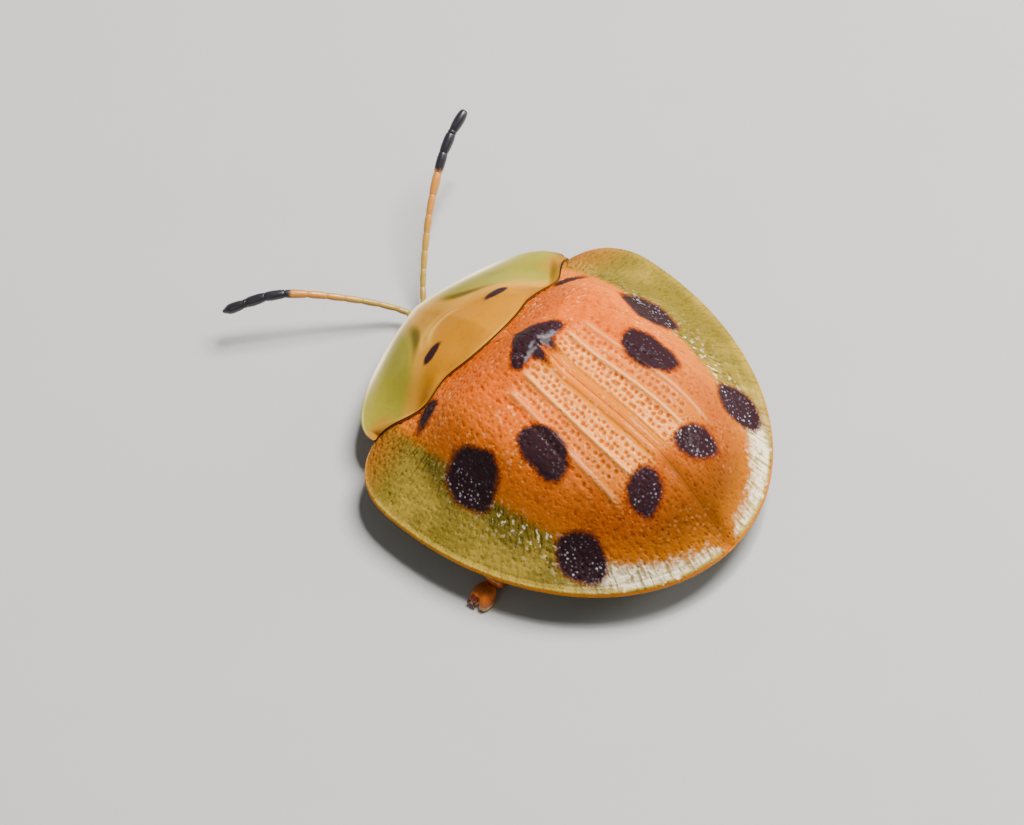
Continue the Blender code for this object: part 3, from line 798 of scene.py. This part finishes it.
def feeler_finish(colours):
    """Smooth chitin that runs from gold over orange to a black club."""
    look = Finish("feeler", IOR=1.45, Coat_Weight=0.3, Coat_Roughness=0.2, Sheen_Weight=0.1)
    clouds = look.noise(4.0, 3.0)
    club = look.plus(look.trait("club"), look.ramp(clouds, 0.3, 0.7, -0.3, 0.2))
    surface = look.layers(
        colours.feeler_middle, (look.trait("root"), colours.feeler_root),
        (look.ramp(club, 0.25, 0.75), colours.feeler_tip))
    surface = look.cloud(surface, clouds, 0.4, 0.7, 0.5, 0.7)
    roughness = look.ramp(clouds, 0.3, 0.7, 0.3, 0.4)
    return look.finish(surface, roughness, look.noise(18.0, 2.0), 0.3, 0.01)


def eye_finish(colours):
    """Small dark facets with a reddish edge and a strong gloss."""
    look = Finish("eye", IOR=1.5, Coat_Weight=0.6, Coat_Roughness=0.08)
    facets = look.cells(30.0)
    surface = look.blend(look.ramp(facets, 0.3, 0.7, 0.0, 0.3), colours.eye, colours.claw)
    return look.finish(surface, look.ramp(facets, 0.1, 0.6, 0.15, 0.35), facets, 0.5, 0.008)


def case_front(x):
    """The front edge of a wing case, tucked under the hind edge of the shield."""
    share = clamp((x - CORNER_HALF_WIDTH) / (CASE_HALF_WIDTH - CORNER_HALF_WIDTH))
    corner = mix(CASE_WIDEST_Y, CASE_FRONT_Y, (1.0 - share * share) ** (1.0 / 3.0))
    return max(corner, shield_back(x) + CASE_TUCK)


def case_inner(v):
    """The inner edge of a wing case: past the scutellum, then along the seam."""
    start = Vector((SCUTELLUM_HALF_WIDTH, case_front(SCUTELLUM_HALF_WIDTH)))
    tip = Vector((SEAM_HALF_GAP, SCUTELLUM_TIP_Y))
    end = Vector((SEAM_HALF_GAP, CASE_END_Y - 0.005))
    if v < SCUTELLUM_SHARE:
        return start.lerp(tip, v / SCUTELLUM_SHARE)
    share = (v - SCUTELLUM_SHARE) / (1.0 - SCUTELLUM_SHARE)
    return tip.lerp(end, mix(share, math.sin(0.5 * math.pi * share), 0.4))


def case_outer(v):
    """The outer rim of a wing case, from its front corner to its tip."""
    if v < SHOULDER_SHARE:
        x = mix(SHOULDER_X, CASE_HALF_WIDTH, math.sin(0.5 * math.pi * v / SHOULDER_SHARE))
        return Vector((x, case_front(x)))
    share = (v - SHOULDER_SHARE) / (1.0 - SHOULDER_SHARE)
    y = mix(CASE_WIDEST_Y, CASE_END_Y, math.sin(0.5 * math.pi * share * 0.97))
    return Vector((case_half_width(y), y))


def seam_marks(x, y):
    """The marks beside the seam of a wing case, by name."""
    reach = rib_reach(y)
    rib = rib_x(y)
    band = reach * ease((x - 0.2) / 0.06) * mix(1.0, 0.32, ease((x - rib) / 0.1))
    band *= ease((1.95 * rib - x) / 0.3)
    # Pale rib crests, partly their own pale colour and partly a painted highlight along them
    ridge = max(bell(x - rib, 0.035), 0.6 * bell(x - SECOND_RIB * rib, 0.035))
    groove = max(bell(x - GROOVE_X, 0.055), 0.6 * bell(x - 0.09, 0.02), 0.4 * bell(x, 0.015))
    return {
        "band": max(band, 0.55 * reach * ease((0.16 - x) / 0.05)),
        "groove": reach * groove,
        "ridge": 0.75 * reach * ridge,
        "furrow": 0.75 * ease((y - 3.3) / 0.4) * bell(x, 0.09),
    }


def case_marks(x, y, side):
    """The disc, spots and rim of a wing case, by name, with the pale rear band and its painted
    reflection and the chevron's painted sheen.
    """
    rim = 1.0 - rim_share(x, y)
    disc = 1.0 - disc_share(x, y)
    # Pale rear band, partly its own colour and partly a painted reflection
    pearl = ease((y - 2.9) / 0.8) * ease((rim - 0.008) / 0.012) * ease((x - 0.1) / 0.2)
    ragged = 0.09 * noise.noise(Vector((x * 14.0, y * 14.0, side)))
    sheen_distance = line_place(x, y, *SHEEN_STREAK)[0] + ragged
    return {
        "disc": disc - 0.03 + 0.05 * ease((y - 2.2) / 1.5) + 0.08 * bell(x, 0.22) * ease(y - 4.0),
        "spot": max(chevron(side * x, y), *(oval(x, y, each) for each in CASE_SPOTS)),
        "rim": rim,
        "pearl": pearl * mix(0.15, 1.0, ease((disc + 0.14) / 0.05)),
        "arc": math.atan2(y - CASE_WIDEST_Y, x) * CASE_HALF_WIDTH,
        # Painted sheen: a grey-white stripe on the chevron
        "shine": 0.4 * ease((0.08 - sheen_distance) / 0.1),
    }


class BEETLE_OT_wing_cases(Operator):
    """Build both wing cases with their ribs, pits, spots and flange"""
    bl_idname = "beetle.wing_cases"
    bl_label = "Wing Cases"

    def execute(self, context):
        sizes = context.scene.beetle_sizes
        look = wing_case_finish(context.scene.beetle_colours)
        for word, side in SIDES.items():
            pits = scatter_pits(random.Random(CASE_SEEDS[word]), sizes.pit_depth / MM)
            bm = self.build_case(side, sizes, pits)
            finish_piece("wing_case_" + word, bm, [look], ["elytron_" + word])
        return {"FINISHED"}

    def build_case(self, side, sizes, pits):
        start = case_inner(0.0)
        shoulder = case_outer(0.0)
        rib_rise = sizes.rib_rise / MM

        def spot_of(u, v):
            spot = case_inner(v).lerp(case_outer(v), u)
            edge = start.lerp(shoulder, u)
            spot.y += (case_front(edge.x) - edge.y) * clamp(1.0 - v / SHOULDER_SHARE)
            return spot

        def upper(u, v, x, y):
            rim = 1.0 - rim_share(x, y)
            warp = 0.02 * noise.noise_vector(Vector((x * 8.0, y * 8.0, side)))
            depth, inside = pits.share(x + warp.x, y + warp.y)
            height = case_top(x, y) + seam_relief(x, y, rib_rise)
            height += 0.012 * noise.noise(Vector((side * x * 2.2, y * 2.2, 5.0)))
            height += 0.025 * bell(rim - 0.006, 0.007)
            height -= depth * clamp(rim / 0.03) + 0.05 * (1.0 - ease(rim / 0.004))
            return height, {"pit": inside, **seam_marks(x, y), **case_marks(x, y, side)}

        def lower(u, v, x, y):
            wall = mix(0.04, 0.16, ease((1.0 - rim_share(x, y)) / 0.1)) * slope(case_top, x, y)
            marks = {"disc": 1.0 - disc_share(x, y), "spot": UNSPOTTED, "rim": 0.05}
            return case_top(x, y) - wall - 0.03, marks

        return sheet_body(sizes.case_columns, sizes.case_rows, spot_of, upper, lower, side)


def shield_marks(x, y):
    """The shield's colours and lines at a point, by name, with its painted highlights and painted
    gap shade.
    """
    side = abs(x)
    front = y - shield_front(x)
    back = shield_back(x) + SHIELD_OVERHANG - y
    width = 0.4 + 2.05 * clamp((y + 3.75) / 1.9) ** 2
    ring = math.hypot((x - 0.2) / 1.2, y + 2.35)
    # Painted highlights: two curves near the front, and below a line just in front of the hind edge
    arcs = 0.6 * bell(ring - 0.5, 0.05) + 0.3 * bell(ring - 0.66, 0.03)
    arcs *= ease((-2.4 - y) / 0.4) * ease((x + 0.5) / 0.6)
    border = 0.6 * bell(front - 0.03, 0.05) + 0.3 * bell(front, 0.22)
    # Painted highlight along the front rim, strongest about halfway out to each side
    border += 0.5 * bell(front - 0.06, 0.06) * bell(side - 1.45, 0.4)
    return {
        "disc": width - side,
        "spot": oval(side, y, SHIELD_SPOT, 0.03),
        "shade": 0.85 * ease(1.3 - math.hypot((side - width - 0.04) / 0.16, (y + 3.1) / 0.5)),
        "warm": 0.55 * ease((side - 2.1) / 0.5) * ease((y + 2.7) / 0.4),
        # Painted shade: near-black along the hind edge, for the shade in the gap over the wing
        # cases
        "hem": ease((0.058 - back) / 0.02),
        "arcs": max(arcs, 0.75 * bell(back - 0.1, 0.03) * bell(x + 0.1, 0.7)),
        "border": border * mix(0.15, 1.0, ease((2.5 - side) / 0.8)),
    }


class BEETLE_OT_shield(Operator):
    """Build the shield over the head, and the scutellum behind it"""
    bl_idname = "beetle.shield"
    bl_label = "Shield"

    def execute(self, context):
        look = shield_finish(context.scene.beetle_colours)
        finish_piece("shield", self.build_shield(), [look], ["pronotum"])
        look = bpy.data.materials["wing_case"]
        finish_piece("scutellum_plate", self.build_scutellum(), [look], ["scutellum"])
        return {"FINISHED"}

    def build_shield(self):
        def spot_of(u, v):
            x = SHIELD_HALF_WIDTH * swing(u) * 0.998
            return x, mix(shield_front(x), shield_back(x) + SHIELD_OVERHANG, v)

        def upper(u, v, x, y):
            front = y - shield_front(x)
            height = shield_cover(x, y) + 0.008 * noise.noise(Vector((x * 1.7, y * 1.7, 9.0)))
            height += 0.02 * bell(front - 0.04, 0.04) - 0.03 * (1.0 - ease(front / 0.02))
            return height, shield_marks(x, y)

        def lower(u, v, x, y):
            side = abs(x) / max(shield_half_width(y), 0.05)
            ahead = clamp((SHIELD_CORNER_Y - y) / (SHIELD_CORNER_Y - SHIELD_FRONT_Y))
            wall = mix(0.05, 0.12, ease((1.0 - max(side, ahead ** 1.5)) / 0.15))
            wall = mix(wall, 0.04, ease((v - 0.75) / 0.2))
            height = shield_cover(x, y) - wall * slope(shield_top, x, y)
            return height, {"disc": 0.5, "spot": UNSPOTTED}

        return sheet_body(*SHIELD_GRID, spot_of, upper, lower)

    def build_scutellum(self):
        """The small plate between the shield and the roots of the wing cases."""
        front = shield_back(0.0) + CASE_TUCK

        def spot_of(u, v):
            half = (SCUTELLUM_HALF_WIDTH - 0.01) * mix(1.0, 0.02, v)
            return half * (2.0 * u - 1.0), mix(front, SCUTELLUM_TIP_Y - 0.01, v)

        def upper(u, v, x, y):
            rise = 0.03 * (1.0 - (2.0 * u - 1.0) ** 2) * ease(2.0 * (1.0 - v))
            return case_top(x, y) + rise, {"disc": 1.0, "spot": chevron(x, y), "rim": 0.5}

        def lower(u, v, x, y):
            return case_top(x, y) - 0.15, {"disc": 1.0, "spot": UNSPOTTED, "rim": 0.5}

        return sheet_body(*SCUTELLUM_GRID, spot_of, upper, lower)


def ball(bm, sides, rings, material):
    """The points of a new sphere of radius 1, in one of the piece's materials."""
    made = bmesh.ops.create_uvsphere(bm, u_segments=sides, v_segments=rings, radius=1.0)["verts"]
    for face in {face for vert in made for face in vert.link_faces}:
        face.material_index = material
    return made


def limb(bm, start, end, radii, sides=16, rings=14, blunt=0.35, material=0):
    """A round-ended length whose radius follows the given ones from start to end."""
    made = ball(bm, sides, rings, material)
    axis = end - start
    turn = axis.to_track_quat("Z", "Y")
    for vert in made:
        across = math.hypot(vert.co.x, vert.co.y)
        share = 0.5 * (vert.co.z + 1.0)
        place = share * (len(radii) - 1)
        index = min(int(place), len(radii) - 2)
        radius = mix(radii[index], radii[index + 1], ease(place - index))
        turned = Vector((vert.co.x, vert.co.y, 0.0))
        if across > 1e-6:
            turned *= radius * across ** blunt / across
        vert.co = start + axis * share + turn @ turned
    return made


def egg(bm, centre, radii, sides=32, rings=20, material=0):
    made = ball(bm, sides, rings, material)
    bmesh.ops.scale(bm, verts=made, vec=radii)
    bmesh.ops.translate(bm, verts=made, vec=centre)
    return made


class BEETLE_OT_head(Operator):
    """Build the head under the shield, with its eyes, lip, jaws and palps"""
    bl_idname = "beetle.head"
    bl_label = "Head"

    def execute(self, context):
        colours = context.scene.beetle_colours
        looks = (plain_chitin("head_chitin", colours.shield_disc, 0.5, 0.3, 0.25),
                 plain_chitin("jaw_chitin", colours.claw, 0.5, 0.25, 0.2))
        finish_piece("head_capsule", self.build_head(), looks, ["head"])
        look = eye_finish(colours)
        for word, side in SIDES.items():
            bm = bmesh.new()
            egg(bm, HEAD_CENTRE + Vector((side * 0.56, -0.02, 0.02)), (0.2, 0.24, 0.3), 40, 28)
            finish_piece("faceted_eye_" + word, bm, [look], ["eye_" + word])
        return {"FINISHED"}

    def build_head(self):
        bm = bmesh.new()
        for vert in egg(bm, HEAD_CENTRE, (0.62, 0.34, 0.33), 40, 28):
            away = vert.co - HEAD_CENTRE
            if away.y < 0.0:
                furrow = bell(away.x, 0.05) * ease(away.z / 0.2)
                sockets = bell(math.hypot(abs(away.x) - 0.14, away.z - 0.12), 0.1)
                vert.co.y += 0.03 * furrow + 0.05 * sockets
        mouth = HEAD_CENTRE - Vector((0.0, 0.33, 0.33))
        egg(bm, mouth + Vector((0.0, 0.06, 0.21)), (0.24, 0.07, 0.12), 24, 14)
        egg(bm, mouth + Vector((0.0, 0.08, 0.1)), (0.2, 0.08, 0.07), 24, 14, 1)
        for side in reversed(SIDES.values()):
            jaw, palp = ([mouth + Vector((side * x, y, z)) for x, y, z in joints]
                         for joints in (JAW_JOINTS, PALP_JOINTS))
            limb(bm, *jaw, (0.07, 0.08, 0.04), 16, 12, 0.5, 1)
            for near, far in zip(palp, palp[1:]):
                limb(bm, near, far, (0.026, 0.035, 0.03), 12, 10)
        return bm


def smooth_path(points, count):
    """Points of a smooth curve through the given ones."""
    ends = [points[0] * 2.0 - points[1], *points, points[-1] * 2.0 - points[-2]]
    path = []
    for index in range(count + 1):
        place = index / count * (len(points) - 1)
        span = min(int(place), len(points) - 2)
        t = place - span
        before, start, end, after = ends[span:span + 4]
        path.append(0.5 * (2.0 * start + (end - before) * t
                           + (2.0 * before - 5.0 * start + 4.0 * end - after) * t * t
                           + (3.0 * start - before - 3.0 * end + after) * t ** 3))
    return path


def walk(curve, share):
    """The point at a share of a curve's length."""
    spans = list(zip(curve, curve[1:]))
    left = share * sum((far - near).length for near, far in spans)
    for near, far in spans:
        step = (far - near).length
        if left <= step:
            break
        left -= step
    return near.lerp(far, left / step)


class BEETLE_OT_feelers(Operator):
    """Build both feelers from eleven segments each"""
    bl_idname = "beetle.feelers"
    bl_label = "Feelers"

    def execute(self, context):
        width = context.scene.beetle_sizes.feeler_width / MM
        look = feeler_finish(context.scene.beetle_colours)
        for word, path in FEELER_PATHS.items():
            bm = self.build_feeler([Vector(point) for point in path], width, TIP_WIDTHS[word],
                                   CLUB_STARTS[word])
            finish_piece("feeler_" + word, bm, [look], ["antenna_" + word])
        return {"FINISHED"}

    def build_feeler(self, path, width, tip_width, club_start):
        bm = bmesh.new()
        club, root = (bm.verts.layers.float.new(trait) for trait in ("club", "root"))
        curve = smooth_path(path, CURVE_STEPS)
        before = 0.0
        for index, (after, wide) in enumerate(FEELER_SEGMENTS):
            start = walk(curve, before)
            end = walk(curve, after - 0.002)
            axis = end - start
            last = index == len(FEELER_SEGMENTS) - 1
            shares = (*SEGMENT_WIDTHS, tip_width if last else SEGMENT_END_WIDTH)
            radii = [width * wide * share for share in shares]
            made = limb(bm, start, end, radii, 18, 16, 0.4 if last else 0.08)
            if index:
                neck = NECK_WIDTH * width * wide
                joint = start - axis.normalized() * 0.02
                made += limb(bm, joint, start.lerp(end, 0.12), (neck, neck), 12, 6, 0.1)
            for vert in made:
                share = mix(before, after, (vert.co - start).dot(axis) / axis.length_squared)
                vert[club] = ease((share - club_start) / 0.12)
                vert[root] = 1.0 - ease((share - 0.3) / 0.25)
            before = after
        return bm


def trunk_width(y):
    """Half the width of the body at y, narrow in front and round behind."""
    if y > 0.8:
        share = clamp((y - 0.8) / 3.15)
        return TRUNK_HALF_WIDTH * math.sqrt(1.0 - share ** 2.6)
    return mix(1.25, TRUNK_HALF_WIDTH, ease((y + 2.82) / 3.6))


class BEETLE_OT_underside(Operator):
    """Build the plates of the breast and the rings of the belly"""
    bl_idname = "beetle.underside"
    bl_label = "Underside"

    def execute(self, context):
        colours = context.scene.beetle_colours
        look = plain_chitin("underside", colours.belly, 0.5, 0.3, 0.4)
        for name, node, *sizes in BODY_PLATES:
            bm = self.build_plate(node == "prothorax", *sizes)
            finish_piece(name, bm, [look], [node])
        return {"FINISHED"}

    def build_plate(self, under_shield, front, back, low, rings):
        cover, share, curl = (shield_cover, 0.95, 0.1) if under_shield else (case_top, 1.0, 0.4)

        def spot_of(u, v):
            y = mix(front, back, v)
            return swing(u) * trunk_width(y) * share, y

        def upper(u, v, x, y):
            roof = cover(x, y) - 0.22 * slope(cover, x, y)
            return max(roof, low + 0.2), {}

        def lower(u, v, x, y):
            ring = (v * rings) % 1.0
            step = 0.05 * ring - 0.06 * bell(ring - 1.0, 0.06) - 0.06 * bell(ring, 0.06)
            grain = 0.012 * noise.noise(Vector((x * 4.0, y * 4.0, 2.0)))
            return low + curl * abs(swing(u)) ** 3 - step - 0.03 * bell(x, 0.12) + grain, {}

        return sheet_body(PLATE_COLUMNS, RING_ROWS * rings, spot_of, upper, lower)


class BEETLE_OT_legs(Operator):
    """Build the six legs, down to the two-lobed pads and the claws"""
    bl_idname = "beetle.legs"
    bl_label = "Legs"

    def execute(self, context):
        colours = context.scene.beetle_colours
        width = context.scene.beetle_sizes.leg_width / MM
        looks = (plain_chitin("leg_chitin", colours.limb, 0.6, 0.28, 0.3),
                 plain_chitin("foot_pad", colours.pad, 0.75, 0.5, 0.6),
                 plain_chitin("claw_chitin", colours.claw, 0.5, 0.2, 0.1))
        for row, joints in LEGS.items():
            for word, side in SIDES.items():
                shown = row == "hind" and word == "left"
                places = joints[:2] + SHOWN_FOOT if shown else joints
                hip, knee, ankle, toe = (Vector((side * x, y, z)) for x, y, z in places)
                along = Vector((toe.x - ankle.x, toe.y - ankle.y, 0.0)).normalized()
                across = Vector((-along.y, along.x, 0.0))
                bm = bmesh.new()
                self.build_shin(bm, hip, knee, ankle.lerp(toe, 0.06), width, along, across)
                self.build_foot(bm, ankle, toe, along, across, CLAW_LEAN if shown else 0.0)
                for vert in bm.verts:
                    vert.co.z = max(vert.co.z, FLOOR)
                leg = "leg_" + row + "_" + word
                finish_piece(leg + "_whole", bm, looks, [leg])
        return {"FINISHED"}

    def build_shin(self, bm, hip, knee, ankle, width, along, across):
        """Hip, thigh, shin and the row of spurs beside the ankle."""
        egg(bm, hip + Vector((0.0, 0.0, 0.12)), (0.26, 0.24, 0.2), 24, 16)
        limb(bm, hip.lerp(knee, 0.08), hip.lerp(knee, 0.28), (0.12, 0.14, 0.12))
        thigh = (0.1, width, 1.1 * width, width, 0.11)
        limb(bm, hip.lerp(knee, 0.2), knee.lerp(hip, -0.04), thigh, 20, 22)
        limb(bm, knee, ankle, (0.09, 0.11, 0.14, 0.18, 0.19), 18, 18)
        for index in range(SPURS):
            spur = knee.lerp(ankle, 0.55 + 0.1 * index)
            tip = spur + across * 0.2 + along * 0.08
            limb(bm, spur + across * 0.1, tip, (0.014, 0.01, 0.004), 8, 6)

    def build_foot(self, bm, ankle, toe, along, across, lean):
        """Two foot segments, the two-lobed pad, both claws and the claw segment."""
        for index, wide in enumerate((0.2, 0.24)):
            start = ankle.lerp(toe, 0.02 + 0.2 * index)
            end = ankle.lerp(toe, 0.3 + 0.2 * index)
            limb(bm, start, end, (0.09, wide, wide, 0.12), 18, 12)
        for lobe in (-1.0, 1.0):
            start = ankle.lerp(toe, 0.5) + across * lobe * 0.05
            end = toe + along * 0.02 + across * lobe * 0.14
            end.z = FLOOR + 0.12
            limb(bm, start, end, (0.14, 0.16, 0.15, 0.1), 20, 14)
            start.z = end.z = FLOOR + 0.07
            limb(bm, start, end + along * 0.02, (0.08, 0.14, 0.15, 0.11), 20, 14, 0.35, 1)
            claw_root = toe + across * (lobe * 0.05 - lean)
            claw_bend = claw_root + along * 0.06 + across * lobe * 0.02
            claw_tip = claw_bend + along * 0.02 + across * lobe * 0.03
            claw_tip.z = FLOOR + 0.02
            limb(bm, claw_root, claw_bend, (0.03, 0.034, 0.028), 12, 8, 0.4, 2)
            limb(bm, claw_bend, claw_tip, (0.028, 0.02, 0.006), 12, 8, 0.5, 2)
        start = ankle.lerp(toe, 0.66) - across * 0.5 * lean
        end = toe + along * 0.04 - across * lean + Vector((0.0, 0.0, 0.04))
        limb(bm, start, end, (0.06, 0.08, 0.11, 0.1), 20, 16, 0.35, 2)


class BEETLE_OT_stage(Operator):
    """Build the studio: floor, soft lights and the photo's camera"""
    bl_idname = "beetle.stage"
    bl_label = "Studio"

    def execute(self, context):
        self.lay_floor(context)
        self.light_room(context)
        self.place_camera(context)
        return {"FINISHED"}

    def lay_floor(self, context):
        bm = bmesh.new()
        bmesh.ops.create_grid(bm, x_segments=1, y_segments=1, size=FLOOR_HALF_SIZE)
        look = Finish("studio_floor", Roughness=0.75)
        tone = context.scene.beetle_colours.floor
        tone = look.cloud(tone, look.noise(0.4, 3.0), 0.4, 0.6, 0.1, 0.9)
        look.plug(look.shader.inputs["Base Color"], tone)
        floor = add_body("studio_floor", bm, [look.material])

    def light_room(self, context):
        world = bpy.data.worlds.new("studio")
        world.use_nodes = True
        background = world.node_tree.nodes["Background"]
        background.inputs["Color"].default_value = ROOM_COLOUR
        background.inputs["Strength"].default_value = ROOM_STRENGTH
        context.scene.world = world
        for name, direction, distance, size, power, colour in LIGHTS:
            data = bpy.data.lights.new(name, "AREA")
            data.shape = "DISK"
            data.size = size * MM
            data.energy = power
            data.color = colour
            light = add_object(name, data)
            towards = Vector(direction).normalized()
            light.location = ORIGIN + towards * distance * MM
            light.rotation_euler = towards.to_track_quat("Z", "Y").to_euler()

    def place_camera(self, context):
        flat = math.cos(VIEW_RISE)
        back = Vector((math.sin(VIEW_TURN) * flat, math.cos(VIEW_TURN) * flat, math.sin(VIEW_RISE)))
        turn = back.to_track_quat("Z", "Y").to_matrix() @ Matrix.Rotation(VIEW_ROLL, 3, "Z")
        right, up = turn.col[0], turn.col[1]
        data = bpy.data.cameras.new("photo_view")
        data.sensor_width = SENSOR_WIDTH
        data.lens = PIXELS_PER_MM * VIEW_DISTANCE * SENSOR_WIDTH / IMAGE_SIZE[0]
        data.clip_start, data.clip_end = CLIP_RANGE
        camera = add_object("photo_view", data)
        aside = (IMAGE_SIZE[0] / 2.0 - ZERO_PIXEL[0]) / PIXELS_PER_MM
        above = (ZERO_PIXEL[1] - IMAGE_SIZE[1] / 2.0) / PIXELS_PER_MM
        place = ORIGIN + (back * VIEW_DISTANCE + right * aside + up * above) * MM
        camera.matrix_world = Matrix.Translation(place) @ turn.to_4x4()
        context.scene.camera = camera


class BEETLE_PT_panel(Panel):
    """The beetle's pieces, sizes and colours"""
    bl_idname = "BEETLE_PT_panel"
    bl_label = "Tortoise Beetle"
    bl_space_type = "VIEW_3D"
    bl_region_type = "UI"
    bl_category = "Beetle"

    def draw(self, context):
        for operator in OPERATORS:
            self.layout.operator(operator.bl_idname)
        for group in (context.scene.beetle_sizes, context.scene.beetle_colours):
            for name in group.__annotations__:
                self.layout.prop(group, name)


OPERATORS = (BEETLE_OT_wing_cases, BEETLE_OT_shield, BEETLE_OT_head, BEETLE_OT_feelers,
             BEETLE_OT_underside, BEETLE_OT_legs, BEETLE_OT_stage)
CLASSES = (BeetleColours, BeetleSizes, *OPERATORS, BEETLE_PT_panel)


def register():
    for item in CLASSES:
        bpy.utils.register_class(item)
    bpy.types.Scene.beetle_colours = PointerProperty(type=BeetleColours)
    bpy.types.Scene.beetle_sizes = PointerProperty(type=BeetleSizes)


def unregister():
    del bpy.types.Scene.beetle_sizes
    del bpy.types.Scene.beetle_colours
    for item in reversed(CLASSES):
        bpy.utils.unregister_class(item)


def main():
    register()
    bpy.ops.beetle.stage()
    bpy.ops.beetle.wing_cases()
    bpy.ops.beetle.shield()
    bpy.ops.beetle.head()
    bpy.ops.beetle.feelers()
    bpy.ops.beetle.underside()
    bpy.ops.beetle.legs()


if __name__ == "__main__":
    main()
